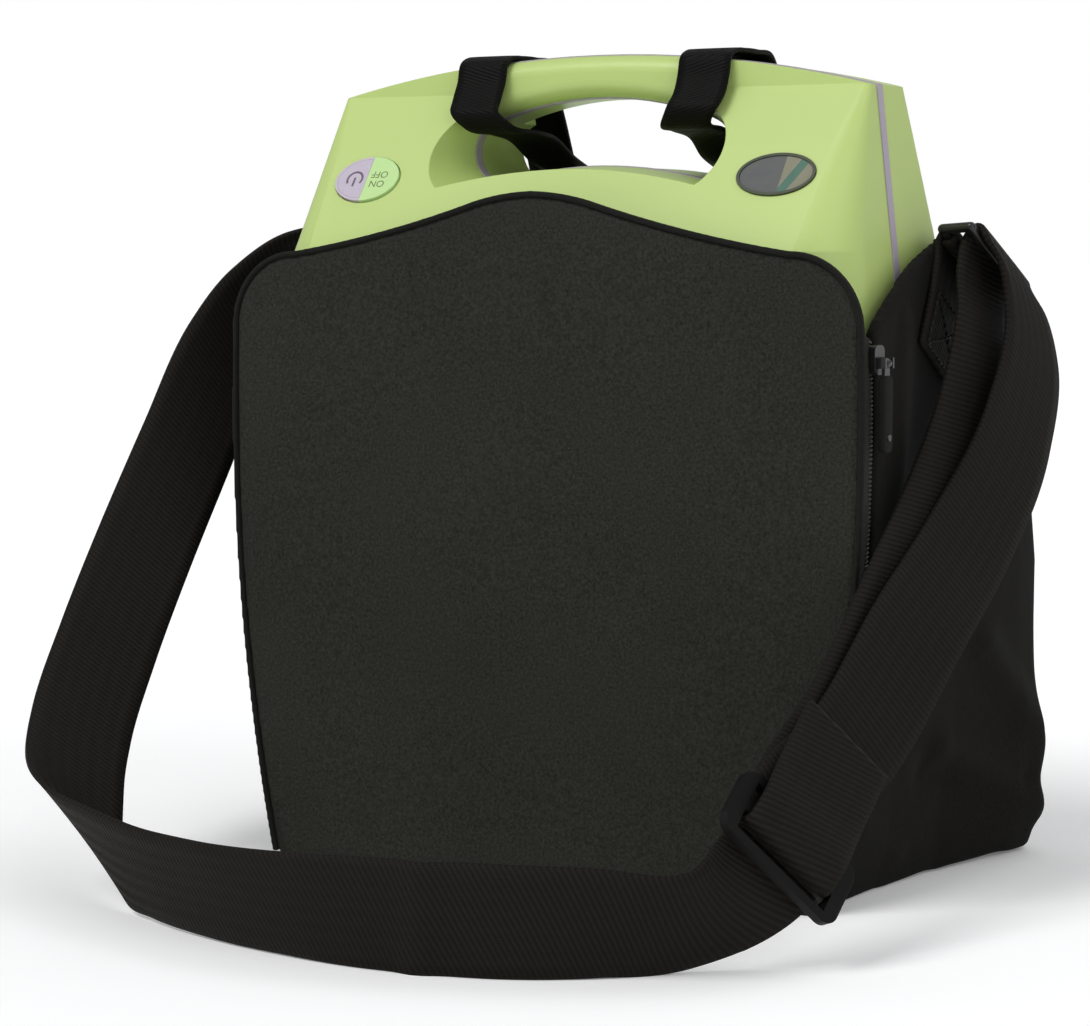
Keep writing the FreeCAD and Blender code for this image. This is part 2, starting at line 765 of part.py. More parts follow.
def case_shell():
    """Sides and back of the case in one, open at the front, top and bottom."""
    def ring(z, inset, pad):
        front, rear = case_width(z) - inset, rear_width(z) - inset
        back, r = case_back(z) - pad, case_corner - inset
        bend = r * math.sqrt(0.5)
        y0 = zip_back() - (1 if inset else 0)
        p = [V(-front, y0, z), V(-rear, back - r, z), V(-rear + r - bend, back - r + bend, z),
             V(-rear + r, back, z), V(rear - r, back, z),
             V(rear - r + bend, back - r + bend, z), V(rear, back - r, z), V(front, y0, z)]
        parts = [Part.LineSegment(p[0], p[1]), Part.Arc(p[1], p[2], p[3]),
                 Part.LineSegment(p[3], p[4]), Part.Arc(p[4], p[5], p[6]),
                 Part.LineSegment(p[6], p[7]), Part.LineSegment(p[7], p[0])]
        return Part.Wire([part.toShape() for part in parts])
    levels = (0.0, 30.0, 60.0, 95.0, rear_slope_foot, 160.0, 195.0, rear_slope_mid[1], 240.0)
    outer = Part.makeLoft([ring(z, 0, 0) for z in levels], True, True)
    inner = Part.makeLoft([ring(z, fabric, back_pad) for z in (-1.0,) + levels[1:-1] + (241.0,)],
                          True, True)
    return outer.cut(inner)


def top_line():
    """Everything below the case's top edge, seen from the side."""
    y0 = zip_back()
    steps = [V(0, y0 - 1, -1), V(0, 99, -1), V(0, 99, back_top), V(0, 62, back_top)]
    edges = [Part.LineSegment(a, b).toShape() for a, b in zip(steps, steps[1:])]
    peak = V(0, 16, tab_peak)
    edges.append(Part.Arc(V(0, 62, back_top), V(0, 44, 214), peak).toShape())
    edges.append(Part.Arc(peak, V(0, -24, 219), V(0, y0 - 1, notch_height)).toShape())
    edges.append(Part.LineSegment(V(0, y0 - 1, notch_height), V(0, y0 - 1, -1)).toShape())
    face = Part.Face(Part.Wire(edges))
    return face.extrude(ALONG_X * 400).translated(V(-200, 0, 0))


def case_wall(x0, x1):
    shell = case_shell().common(top_line())
    return shell.common(box(x0, x1, -99, 120, 0, 300))


def back_edge():
    return rear_half - case_corner - 6


def side_panel():
    return case_wall(back_edge(), 200)


def back_panel():
    return case_wall(-back_edge(), back_edge())


def bottom_panel():
    """Flat sewn floor that the case stands on."""
    gap = fabric + 0.1
    front, rear = case_width(0) - gap, rear_width(0) - gap
    y0, y1, r = case_front + flap_thick, case_rear - back_pad - 0.1, case_corner - fabric
    bend = r * math.sqrt(0.5)
    edges = [Part.LineSegment(V(front, y0, 0), V(front, zip_back(), 0)),
             Part.LineSegment(V(front, zip_back(), 0), V(rear, y1 - r, 0)),
             Part.Arc(V(rear, y1 - r, 0), V(rear - r + bend, y1 - r + bend, 0),
                      V(rear - r, y1, 0)),
             Part.LineSegment(V(rear - r, y1, 0), V(0, y1, 0)),
             Part.LineSegment(V(0, y0, 0), V(front, y0, 0))]
    half = [edge.toShape() for edge in edges]
    wire = Part.Wire(Part.__sortEdges__(half + [e.mirror(V(0, 0, 0), ALONG_X) for e in half]))
    return Part.Face(wire).extrude(UP * unit_bottom)


def zip_band():
    """Zip tape and coil along the side, between the flap's return and the side panel."""
    band = plate_y(flap_wire(0, zip_front()), zip_wide)
    band = band.cut(plate_y(flap_wire(fabric - 0.5, zip_front() - 1), zip_wide + 2))
    return band.common(box(60, 200, -99, 0, fold_height, notch_height - 1))


def arc_centre():
    return case_half - case_radius


def slider_x():
    return arc_centre() + math.sqrt(case_radius ** 2 - (slider_height - unit_belly) ** 2)


def zip_slider():
    """Outer plate of the slider with a raised eye for its pull."""
    x, y, z = slider_x() + 0.6, zip_front() + zip_wide / 2, slider_height
    plate = box(x, x + slider_thick, y - slider_wide / 2, y + slider_wide / 2,
                z - slider_long / 2, z + slider_long / 2)
    corners = [edge for edge in plate.Edges
               if abs(edge.Vertexes[0].X - edge.Vertexes[1].X) > 1]
    plate = plate.makeFillet(2.5, corners)
    pin = pin_centre()
    for side in (-1, 1):
        cheek = box(x + slider_thick - 0.2, pin.x + 1.5, y + side * 3 - 0.6, y + side * 3 + 0.6,
                    pin.z - 1.8, pin.z + 1.8)
        plate = plate.fuse(cheek)
    return plate.fuse(rod(V(pin.x, y - 3, pin.z), ALONG_Y, 6, pin_radius))


def pin_centre():
    return V(slider_x() + 0.6 + slider_thick + 2.2, zip_front() + zip_wide / 2,
             slider_height - 1)


def zip_pull():
    """Webbing tab that hangs from the slider's pin, with a rivet at its end."""
    pin = pin_centre()
    eye = rod(V(pin.x, pin.y - 2.2, pin.z), ALONG_Y, 4.4, pin_radius + 1.0)
    tab = box(pin.x - pull_thick / 2, pin.x + pull_thick / 2, pin.y - pull_wide / 2,
              pin.y + pull_wide / 2, pin.z - pull_long, pin.z - 4)
    corners = [edge for edge in tab.Edges if abs(edge.Vertexes[0].X - edge.Vertexes[1].X) > 1]
    tab = tab.makeFillet(1.5, corners)
    neck = box(pin.x - 0.7, pin.x + 0.7, pin.y - 2.2, pin.y + 2.2, pin.z - 5, pin.z)
    rivet = rod(V(pin.x, pin.y, pin.z - pull_long + 5), ALONG_X, pull_thick / 2 + 0.5, 1.8)
    hole = rod(V(pin.x, pin.y - 4, pin.z), ALONG_Y, 8, pin_radius + 0.2)
    return eye.fuse(tab).fuse(neck).cut(hole).fuse(rivet)


# ---------------------------------------------------------------- webbing
def webbing(stations, wide, thick):
    """Flat band through stations: (centre, direction across the band, width factor)."""
    rings = []
    last = len(stations) - 1
    for place, (centre, across, factor) in enumerate(stations):
        ahead = stations[min(place + 1, last)][0] - stations[max(place - 1, 0)][0]
        across = V(across).normalize()
        out = ahead.cross(across).normalize() * (thick / 2)
        side = across * (wide * factor / 2)
        rings.append([centre - side - out, centre + side - out, centre + side + out,
                      centre - side + out])
    faces = [triangle(r[0], r[a], r[b]) for r in (rings[0], rings[-1])
             for a, b in ((1, 2), (2, 3))]
    for near, far in zip(rings, rings[1:]):
        for a, b in ((0, 1), (1, 2), (3, 2), (0, 3)):
            faces.append(triangle(near[a], near[b], far[b]))
            faces.append(triangle(near[a], far[b], far[a]))
    shell = Part.makeShell(faces)
    shell.sewShape()
    solid = Part.makeSolid(Part.Shell(shell.Faces))
    return solid if solid.Volume > 0 else solid.reversed()


def triangle(a, b, c):
    return Part.Face(Part.makePolygon([a, b, c, a]))


def wrap(centre, axis, outward, radius, turns):
    """Stations round a bar: outward is the direction away from both runs."""
    side = axis.cross(outward).normalize()
    stations = []
    for angle in turns:
        a = math.radians(angle)
        stations.append((centre + outward * (radius * math.cos(a))
                         + side * (radius * math.sin(a)), axis, 1.0))
    return stations


ring_across = V(0.12, 0.84, -0.53).normalize()
ring_out = (ALONG_X - ring_across * ring_across.x).normalize()
ring_tab_bar = V(*ring_place)
ring_strap_bar = ring_tab_bar + ring_out * ring_drop
ring_up = (UP - ring_across * UP.dot(ring_across)).normalize()
glide_centre = V(139.5, -150.0, 40.0)
glide_across = V(0.46, 0.54, -0.70).normalize()
glide_down = V(-0.05, -0.82, -0.57)
glide_down = (glide_down - glide_across * glide_down.dot(glide_across)).normalize()
glide_face = glide_down.cross(glide_across).normalize()


def strap_stations():
    """The shoulder strap's route, from its sewn end at the adjuster to the left ring.

    It wraps the adjuster's middle bar, rises to the right ring, comes back down inside
    itself, lies on its edge along the ground, folds and climbs to the left ring.
    """
    away = strap_thick / 2 + loop_gap
    near = glide_size[2] / 2 + away + 1.0
    route = [(glide_centre - glide_down * 46 + glide_face * near, glide_across, 1.0),
             (glide_centre - glide_down * 22 + glide_face * near, glide_across, 1.0)]
    route += wrap(glide_centre, glide_across, glide_down, near, (-90, -45, 0, 45, 90))
    route += [(glide_centre - glide_down * 22 - glide_face * near, glide_across, 1.0)]
    rise = ((142.0, -110.0, 65.5, 0.46, 0.66, -0.58), (148.5, -70.0, 101.0, 0.48, 0.70, -0.52),
            (151.0, -32.0, 128.0, 0.42, 0.74, -0.50), (153.5, 4.0, 163.0, 0.26, 0.82, -0.50),
            (151.5, 21.0, 194.0, 0.16, 0.84, -0.50), (147.5, 21.0, 212.0, 0.12, 0.84, -0.53))
    route += [(V(x, y, z), V(a, b, c), 1.0) for x, y, z, a, b, c in rise]
    route += wrap(ring_strap_bar, ring_across, ring_up, bar_radius + away,
                  (80, 38, -4, -46, -88))
    fall = ((136.8, 10.8, 211.0, 0.12, 0.84, -0.53), (140.5, 3.0, 196.0, 0.14, 0.84, -0.53),
            (141.8, -8.0, 170.0, 0.26, 0.80, -0.52), (142.8, -34.0, 140.0, 0.36, 0.74, -0.52),
            (141.5, -66.0, 108.0, 0.42, 0.70, -0.55), (138.5, -98.0, 76.0, 0.44, 0.62, -0.62))
    route += [(V(x, y, z), V(a, b, c), 1.0) for x, y, z, a, b, c in fall]
    inner = near + strap_thick + 0.4
    route += [(glide_centre - glide_down * 21 - glide_face * inner, glide_across, 1.0),
              (glide_centre + glide_down * 8 - glide_face * inner, glide_across, 1.0)]
    ground = ((117.0, -172.0, 18.6, -0.20, 0.44, -0.85), (93.0, -190.0, 18.8, -0.08, 0.30, -0.95),
              (64.5, -204.0, 18.9, 0.08, 0.21, -0.97), (34.0, -212.0, 19.0, 0.05, 0.21, -0.98),
              (-4.0, -215.0, 18.7, 0.05, 0.33, -0.94), (-40.0, -210.0, 18.4, 0.0, 0.40, -0.92),
              (-72.0, -200.0, 18.0, -0.08, 0.45, -0.89))
    route += [(V(x, y, z), V(a, b, c), 1.0) for x, y, z, a, b, c in ground]
    route += [(V(-114.0, -182.0, 19.6), V(0.80, -0.06, -0.60), 1.55)]
    climb = ((-133.0, -162.0, 42.0, 0.80, 0.42, -0.42), (-144.0, -144.0, 56.0, 0.80, 0.44, -0.40),
             (-156.0, -114.0, 80.0, 0.79, 0.45, -0.42), (-165.0, -80.0, 112.0, 0.76, 0.48, -0.44),
             (-170.0, -45.0, 150.0, 0.66, 0.54, -0.52), (-171.5, -15.0, 187.0, 0.44, 0.66, -0.61),
             (-165.0, 1.0, 208.0, 0.20, 0.80, -0.57), (-152.0, 13.0, 222.0, -0.06, 0.84, -0.53))
    route += [(V(x, y, z), V(a, b, c), 1.0) for x, y, z, a, b, c in climb]
    left_bar = V(-ring_strap_bar.x, ring_strap_bar.y, ring_strap_bar.z)
    left_across = V(-ring_across.x, ring_across.y, ring_across.z)
    left_in = V(ring_out.x, -ring_out.y, -ring_out.z)
    route += wrap(left_bar, left_across, left_in, bar_radius + away,
                  (-108, -62, -16, 32, 80))
    return route


def shoulder_strap():
    return webbing(strap_stations(), strap_wide, strap_thick)


def strap_ring():
    """Rectangular wire ring: one long bar in the case's tab, the other in the strap."""
    reach = strap_wide / 2 + 3.5
    ring = rod(ring_tab_bar - ring_across * reach, ring_across, 2 * reach, bar_radius)
    ring = ring.fuse(rod(ring_strap_bar - ring_across * reach, ring_across, 2 * reach,
                         bar_radius))
    for side in (-1, 1):
        foot = ring_tab_bar + ring_across * (side * reach)
        ring = ring.fuse(rod(foot, ring_out, ring_drop, bar_radius))
        for corner in (foot, foot + ring_out * ring_drop):
            ring = ring.fuse(Part.makeSphere(bar_radius, corner))
    return ring


def side_face(y, z):
    """Outer face of the side panel at a depth and a height."""
    front, back = zip_back(), case_back(z) - case_corner
    return between(y, (front, case_width(z)), (back, rear_width(z)))


def ring_tab():
    """Webbing tab sewn on the side panel and turned round the ring's inner bar."""
    flat = V(0, ring_across.y, ring_across.z).normalize()
    down = flat.cross(ALONG_X).normalize()
    stations = []
    for far in (tab_long, tab_long * 0.75, tab_long / 2, 10.0):
        spot = ring_tab_bar + down * far
        edges = [spot + flat * (side * strap_wide / 2) for side in (-1, 0, 1)]
        face = max(side_face(edge.y, edge.z) for edge in edges)
        stations.append((V(face + strap_thick / 2 + soft_gap, spot.y, spot.z), flat, 1.0))
    away = bar_radius + loop_gap + strap_thick / 2
    for angle in (180, 130, 75, 25, -25, -75, -105):
        a = math.radians(angle)
        stations.append((ring_tab_bar + ring_out * (away * math.cos(a))
                         - down * (away * math.sin(a)), ring_across, 1.0))
    return webbing(stations, strap_wide - 2, strap_thick)


def strap_adjuster():
    """Three-bar slide: a moulded plate with two slots."""
    w, h, t = glide_size
    plate = Part.makeBox(w, h, t, V(-w / 2, -h / 2, -t / 2))
    upright = [edge for edge in plate.Edges
               if abs(edge.Vertexes[0].Z - edge.Vertexes[1].Z) > 1]
    plate = plate.makeFillet(5, upright)
    for side in (-1, 1):
        middle = side * (2 + glide_slot[1] / 2)
        plate = plate.cut(Part.makeBox(glide_slot[0], glide_slot[1], t + 2,
                                       V(-glide_slot[0] / 2, middle - glide_slot[1] / 2,
                                         -t / 2 - 1)))
    turn = FreeCAD.Matrix(glide_across.x, glide_down.x, glide_face.x * -1, glide_centre.x,
                          glide_across.y, glide_down.y, glide_face.y * -1, glide_centre.y,
                          glide_across.z, glide_down.z, glide_face.z * -1, glide_centre.z,
                          0, 0, 0, 1)
    return plate.transformGeometry(turn)


def handle_strap():
    """Loop of webbing round the grip's end, with its tail down the back of the unit."""
    away = grip_strap_thick / 2 + loop_gap + seam_proud
    under = grip_under - grip_under_drop - away
    top = crown_height - (grip_half - grip_strap_wide / 2) ** 2 / (2 * crown_radius) + away
    front, back = grip_front - away - 8, grip_back + away + 3
    outside, inside = grip_half, opening_half - grip_strap_wide / 2 - 6
    tail = rear_face(back_tail) + away
    rise = brow_height - back_tail
    points = [(outside, tail + 1.5, back_tail), (outside, tail - 2, back_tail + 0.21 * rise),
              (outside, back + 13, back_tail + 0.526 * rise),
              (outside, back + 7, back_tail + 0.772 * rise),
              (outside, back + 1, brow_height), (outside, back - 0.9, top - 4.5),
              (outside, back - 4.0, top - 1.0), (outside, -5, top + 0.4), (outside, -15, top + 0.4),
              (outside, grip_front + 4, top), (outside, grip_front - 0.8, top - 2.2),
              (outside, grip_front - 3, top - 9), (outside, front + 3, top - 16),
              (outside - 1, front, under + 4.5), (inside + 3, front + 3, under - 0.5),
              (inside, -17, under - 2.5), (inside, -4, under - 4.5),
              (inside - 1, back - 4, under - 11), (inside - 1, back + 8, lip_height + 0.2)]
    stations = [(V(x, y, z), ALONG_X, 1.0) for x, y, z in points]
    return webbing(stations, grip_strap_wide, grip_strap_thick)


# ---------------------------------------------------------------- write the pieces
pieces = {
    "front_lid": front_lid(), "seam_bezel": seam_bezel(), "rear_housing": rear_housing(),
    "housing_screws": housing_screws(), "power_button": power_button(),
    "power_symbol": power_symbol(), "power_switch": power_switch(),
    "window_bezel": window_bezel(), "status_window": status_window(),
    "status_display": status_display(), "control_panel": control_panel(),
    "graphics_overlay": graphics_overlay(), "indicator_lenses": indicator_lenses(),
    "lcd_display": lcd_display(), "shock_button": shock_button(),
    "shock_switch": shock_switch(), "speaker": speaker(), "microphone": microphone(),
    "electrode_socket": electrode_socket(), "electrode_pack": electrode_pack(),
    "lid_latches": lid_latches(), "main_board": main_board(), "capacitor": capacitor(),
    "transformer": transformer(), "battery_well": battery_well(), "batteries": batteries(),
    "battery_door": battery_door(), "front_flap": front_flap(), "flap_piping": flap_piping(),
    "lower_front_panel": lower_front_panel(), "lower_piping": lower_piping(),
    "back_panel": back_panel(), "bottom_panel": bottom_panel(),
    "shoulder_strap": shoulder_strap(), "strap_adjuster": strap_adjuster(),
}
paired = {"side_panel": side_panel(), "zip": zip_band(), "zip_slider": zip_slider(),
          "zip_pull": zip_pull(), "strap_ring": strap_ring(), "ring_tab": ring_tab(),
          "handle_strap": handle_strap()}
for name, shape in paired.items():
    pieces[name + "_right"] = shape
    pieces[name + "_left"] = mirrored(shape)

os.makedirs("parts", exist_ok=True)
for name, shape in pieces.items():
    shape.exportStep("parts/" + name + ".step")
    bound = shape.BoundBox
    print("%-20s solids %d valid %s volume %9.0f  x %6.1f %6.1f  y %6.1f %6.1f  z %6.1f %6.1f" % (
        name, len(shape.Solids), shape.isValid(), shape.Volume, bound.XMin, bound.XMax,
        bound.YMin, bound.YMax, bound.ZMin, bound.ZMax))
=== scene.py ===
"""A portable defibrillator standing in its soft carry case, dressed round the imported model."""
import math
import bpy, bmesh
from mathutils import Vector, Matrix, noise


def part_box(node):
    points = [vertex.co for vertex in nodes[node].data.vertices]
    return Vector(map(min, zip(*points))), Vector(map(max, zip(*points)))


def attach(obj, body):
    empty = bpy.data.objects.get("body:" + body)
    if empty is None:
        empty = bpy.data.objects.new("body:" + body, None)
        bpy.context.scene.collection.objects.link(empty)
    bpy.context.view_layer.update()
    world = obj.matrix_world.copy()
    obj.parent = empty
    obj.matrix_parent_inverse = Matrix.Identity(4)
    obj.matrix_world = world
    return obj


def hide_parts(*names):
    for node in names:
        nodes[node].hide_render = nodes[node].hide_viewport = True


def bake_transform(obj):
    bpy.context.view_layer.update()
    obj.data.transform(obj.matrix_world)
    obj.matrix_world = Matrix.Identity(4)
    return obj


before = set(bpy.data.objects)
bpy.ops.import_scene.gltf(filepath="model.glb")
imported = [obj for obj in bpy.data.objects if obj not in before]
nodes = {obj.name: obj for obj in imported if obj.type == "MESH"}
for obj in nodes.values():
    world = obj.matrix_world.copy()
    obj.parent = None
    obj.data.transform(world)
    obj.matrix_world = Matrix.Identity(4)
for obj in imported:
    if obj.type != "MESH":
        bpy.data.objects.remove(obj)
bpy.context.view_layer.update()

# ---------------------------------------------------------------- the studio
# A pale floor that runs out to a white background, one broad key light from the upper left,
# a fill from the right and a soft light from behind that draws the edges of the webbing.
studio = bpy.context.scene
studio.view_settings.view_transform = "Standard"
camera = bpy.data.objects.new("camera", bpy.data.cameras.new("camera"))
studio.collection.objects.link(camera)
camera.location = (0.5464, -0.9984, 0.2259)
line_of_sight = Vector((-0.50154, 0.86084, -0.08612))
camera.rotation_euler = line_of_sight.to_track_quat("-Z", "Y").to_euler()
camera.data.lens = 100.8
camera.data.sensor_width = 36.0
camera.data.clip_end = 100.0
studio.camera = camera


def sun(name, strength, softness, azimuth, height):
    """Parallel light that comes from azimuth (0 is the front) and height, in degrees."""
    light = bpy.data.objects.new(name, bpy.data.lights.new(name, "SUN"))
    light.data.energy, light.data.angle = strength, math.radians(softness)
    side, up = math.radians(azimuth), math.radians(height)
    toward = Vector((math.sin(side) * math.cos(up), -math.cos(side) * math.cos(up),
                     math.sin(up)))
    light.rotation_euler = toward.to_track_quat("Z", "Y").to_euler()
    studio.collection.objects.link(light)


sun("key_light", 1.55, 28, -22, 48)
sun("fill_light", 0.55, 50, 62, 28)
sun("back_light", 0.5, 50, 165, 50)

# The sky lights the object softly.  Where the camera, or a ray through a clear piece, meets it,
# it is plain white.
sky = bpy.data.worlds.new("sky")
studio.world = sky
sky.use_nodes = True
wires = sky.node_tree
dome = wires.nodes["Background"]
dome.inputs["Color"].default_value = (0.97, 0.98, 1.0, 1)
dome.inputs["Strength"].default_value = 0.42
white = wires.nodes.new("ShaderNodeBackground")
white.inputs["Color"].default_value = (1, 1, 1, 1)
rays = wires.nodes.new("ShaderNodeLightPath")
seen = wires.nodes.new("ShaderNodeMath")
seen.operation = "MAXIMUM"
either = wires.nodes.new("ShaderNodeMixShader")
wires.links.new(rays.outputs["Is Camera Ray"], seen.inputs[0])
wires.links.new(rays.outputs["Is Transmission Ray"], seen.inputs[1])
wires.links.new(seen.outputs[0], either.inputs[0])
wires.links.new(dome.outputs[0], either.inputs[1])
wires.links.new(white.outputs[0], either.inputs[2])
wires.links.new(either.outputs[0], wires.nodes["World Output"].inputs[0])


def placed(bm, name, smooth=False):
    """A new object in the scene that holds what was modelled in bm."""
    mesh = bpy.data.meshes.new(name)
    bm.to_mesh(mesh)
    bm.free()
    if smooth:
        mesh.shade_smooth()
    piece = bpy.data.objects.new(name, mesh)
    studio.collection.objects.link(piece)
    return piece


bm = bmesh.new()
bmesh.ops.create_grid(bm, x_segments=1, y_segments=1, size=40.0)
floor = placed(bm, "floor")


# ---------------------------------------------------------------- how a finish is written
# Every surface below is a Finish: one Principled shader and the nodes that vary it.  A Field is
# one output of a node, and sums and products of Fields add the Math nodes.
class Field:
    def __init__(self, finish, socket):
        self.finish, self.socket = finish, socket

    def __add__(self, other):
        return self.finish.maths("ADD", self, other)

    def __radd__(self, other):
        return self.finish.maths("ADD", other, self)

    def __sub__(self, other):
        return self.finish.maths("SUBTRACT", self, other)

    def __rsub__(self, other):
        return self.finish.maths("SUBTRACT", other, self)

    def __mul__(self, other):
        return self.finish.maths("MULTIPLY", self, other)

    def __rmul__(self, other):
        return self.finish.maths("MULTIPLY", other, self)

    def __gt__(self, other):
        return self.finish.maths("GREATER_THAN", self, other)

    def __lt__(self, other):
        return self.finish.maths("LESS_THAN", self, other)

    def __abs__(self):
        return self.finish.maths("ABSOLUTE", self)

    def sine(self):
        return self.finish.maths("SINE", self)

    def wave(self, length):
        """A ripple that runs from 0 to 1 and back over each length."""
        return (self * (2 * math.pi / length)).sine() * 0.5 + 0.5


class Finish:
    def __init__(self, name, colour, roughness, **steady):
        self.material = bpy.data.materials.new(name)
        self.material.use_nodes = True
        self.material.diffuse_color = (*colour, 1)
        self.tree = self.material.node_tree
        self.shader = self.tree.nodes["Principled BSDF"]
        self.paint(Base_Color=(*colour, 1), Roughness=roughness, **steady)

    def feed(self, socket, value):
        if isinstance(value, Field):
            self.tree.links.new(value.socket, socket)
        else:
            socket.default_value = value

    def paint(self, **inputs):
        """Gives the shader's own sockets values, or Fields that vary over the surface."""
        for socket, value in inputs.items():
            self.feed(self.shader.inputs[socket.replace("_", " ")], value)

    def node(self, kind, out=0, settings=(), **values):
        """Adds a node: its settings are set first, then values or links go to its sockets."""
        made = self.tree.nodes.new("ShaderNode" + kind)
        for key, value in dict(settings).items():
            setattr(made, key, value)
        for key, value in values.items():
            slot = int(key[1:]) if key[1:].isdigit() else key.replace("_", " ")
            self.feed(made.inputs[slot], value)
        return Field(self, made.outputs[out])

    def maths(self, operation, *values):
        return self.node("Math", settings={"operation": operation},
                         **{f"i{n}": value for n, value in enumerate(values)})

    def place(self):
        """Object coordinates as a vector."""
        return self.node("TexCoord", out=3)

    def axes(self):
        """Object coordinates as three numbers, in metres: east, back and up."""
        split = self.node("SeparateXYZ", Vector=self.place())
        return [Field(self, out) for out in split.socket.node.outputs]

    def cloth(self):
        """The piece's own map, in metres across and along the cloth."""
        split = self.node("SeparateXYZ", Vector=self.node("UVMap", settings={"uv_map": "cloth"}))
        return [Field(self, out) for out in split.socket.node.outputs[:2]]

    def noise(self, scale, detail=2.0, roughness=0.5):
        """Cloudy noise from 0 to 1, with about scale lumps to the metre."""
        return self.node("TexNoise", Vector=self.place(), Scale=scale, Detail=detail,
                         Roughness=roughness)

    def mix(self, share, first, second):
        """Colour that goes from first to second as share goes from 0 to 1."""
        first, second = [(*c, 1) if isinstance(c, tuple) else c for c in (first, second)]
        return self.node("Mix", out=2, settings={"data_type": "RGBA"}, i0=share, i6=first,
                         i7=second)

    def relief(self, height, depth, strength=1.0, edge=None):
        """Bump from a height of 0 to 1, depth in metres, over edges rounded to a radius."""
        bump = {"Strength": strength, "Distance": depth, "Height": height}
        if edge:
            bump["Normal"] = self.node("Bevel", settings={"samples": 4}, Radius=edge)
        self.paint(Normal=self.node("Bump", **bump))


def dress(finish, *names):
    """Gives CAD nodes a finish."""
    for name in names:
        nodes[name].data.materials.clear()
        nodes[name].data.materials.append(finish.material)


# The floor is a pale paper sweep, lifted a little where the camera sees it, so that it fades
# into the white while it still takes the object's shadow.
FLOOR_LIFT = 0.10
paper = Finish("floor", (0.98, 0.98, 0.98), 0.9, Specular_IOR_Level=0.1,
               Emission_Color=(1, 1, 1, 1))
grain = paper.noise(60.0, detail=3.0)
seen_by_camera = paper.node("LightPath")
paper.paint(Base_Color=paper.mix(grain, (0.975, 0.975, 0.975), (0.985, 0.985, 0.985)),
            Emission_Strength=FLOOR_LIFT * seen_by_camera)
floor.data.materials.append(paper.material)

# ---------------------------------------------------------------- green housing
# Lid and rear housing: lime polycarbonate blend, injection moulded with a fine spark-eroded
# texture that breaks up the highlights.  Edges are softened as they leave the mould.
lime = Finish("lime_plastic", (0.47, 0.60, 0.19), 0.42, Coat_Weight=0.12, Coat_Roughness=0.3)
cloud = lime.noise(9.0, detail=3.0, roughness=0.6)
spark = lime.noise(2600.0, roughness=0.6)
lime.paint(Base_Color=lime.mix(cloud, (0.45, 0.58, 0.175), (0.495, 0.63, 0.205)),
           Roughness=0.36 + 0.12 * spark)
lime.relief(spark, depth=0.00004, strength=0.5, edge=0.0007)
dress(lime, "front_lid", "rear_housing")

# The seam bezel between them is a softer grey moulding with a satin face.
bezel_grey = Finish("bezel_plastic", (0.40, 0.355, 0.42), 0.5)
bezel_grain = bezel_grey.noise(1800.0)
bezel_grey.paint(Base_Color=bezel_grey.mix(bezel_grain, (0.385, 0.34, 0.40), (0.43, 0.38, 0.45)))
bezel_grey.relief(bezel_grain, depth=0.00003, strength=0.4, edge=0.0004)
dress(bezel_grey, "seam_bezel")

# ---------------------------------------------------------------- power button and window
# The button is one glossy oval moulding in the green of the lid.  A lilac insert is let into
# its left half, flush with its face.
key = Finish("button_plastic", (0.50, 0.72, 0.27), 0.28, Coat_Weight=0.5, Coat_Roughness=0.12)
low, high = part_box("power_button")
key_middle = (low + high) / 2
left_half = key.axes()[0] < key_middle.x
haze = key.noise(220.0)
key.paint(Base_Color=key.mix(left_half, key.mix(haze, (0.44, 0.70, 0.27), (0.55, 0.76, 0.33)),
                             key.mix(haze, (0.50, 0.44, 0.52), (0.58, 0.51, 0.59))))
key.relief(haze, depth=0.00003, strength=0.2)
dress(key, "power_button")


def speckled(name, colour, roughness, dark, light):
    """A film or an ink with a fine speckle from dark to light."""
    made = Finish(name, colour, roughness)
    made.paint(Base_Color=made.mix(made.noise(900.0, detail=1.0), dark, light))
    return made


film = speckled("button_film", (0.50, 0.44, 0.53), 0.4, (0.46, 0.40, 0.49), (0.53, 0.47, 0.56))
dress(film, "power_symbol")

# What is printed on it stands upside down, to be read with the unit lying on its back: the
# usual power symbol on the left, and the words for its two states on the right.
ink = speckled("symbol_ink", (0.12, 0.085, 0.13), 0.5, (0.10, 0.072, 0.11), (0.14, 0.10, 0.15))
olive_ink = speckled("word_ink", (0.12, 0.17, 0.06), 0.5, (0.10, 0.15, 0.05), (0.14, 0.19, 0.07))
INK_THICK = 0.00004
PRINT_ASIDE = 0.0052
LETTER = 0.0042
key_out = Vector((0, -0.811, 0.585))
key_face = max(vertex.co.dot(key_out) for name in ("power_button", "power_symbol")
               for vertex in nodes[name].data.vertices)
print_middle = key_middle + key_out * (key_face - key_middle.dot(key_out) + INK_THICK)
reading = Matrix(((-1, 0, 0), (0, -key_out.z, key_out.y), (0, key_out.y, key_out.z))).to_4x4()
reading = Matrix.Translation(print_middle) @ reading


def printed(name, mesh, finish):
    """A flat mark on the button, modelled as the reader sees it."""
    mesh.transform(reading)
    mark = bpy.data.objects.new(name, mesh)
    studio.collection.objects.link(mark)
    mark.data.materials.append(finish.material)
    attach(mark, "power_key")


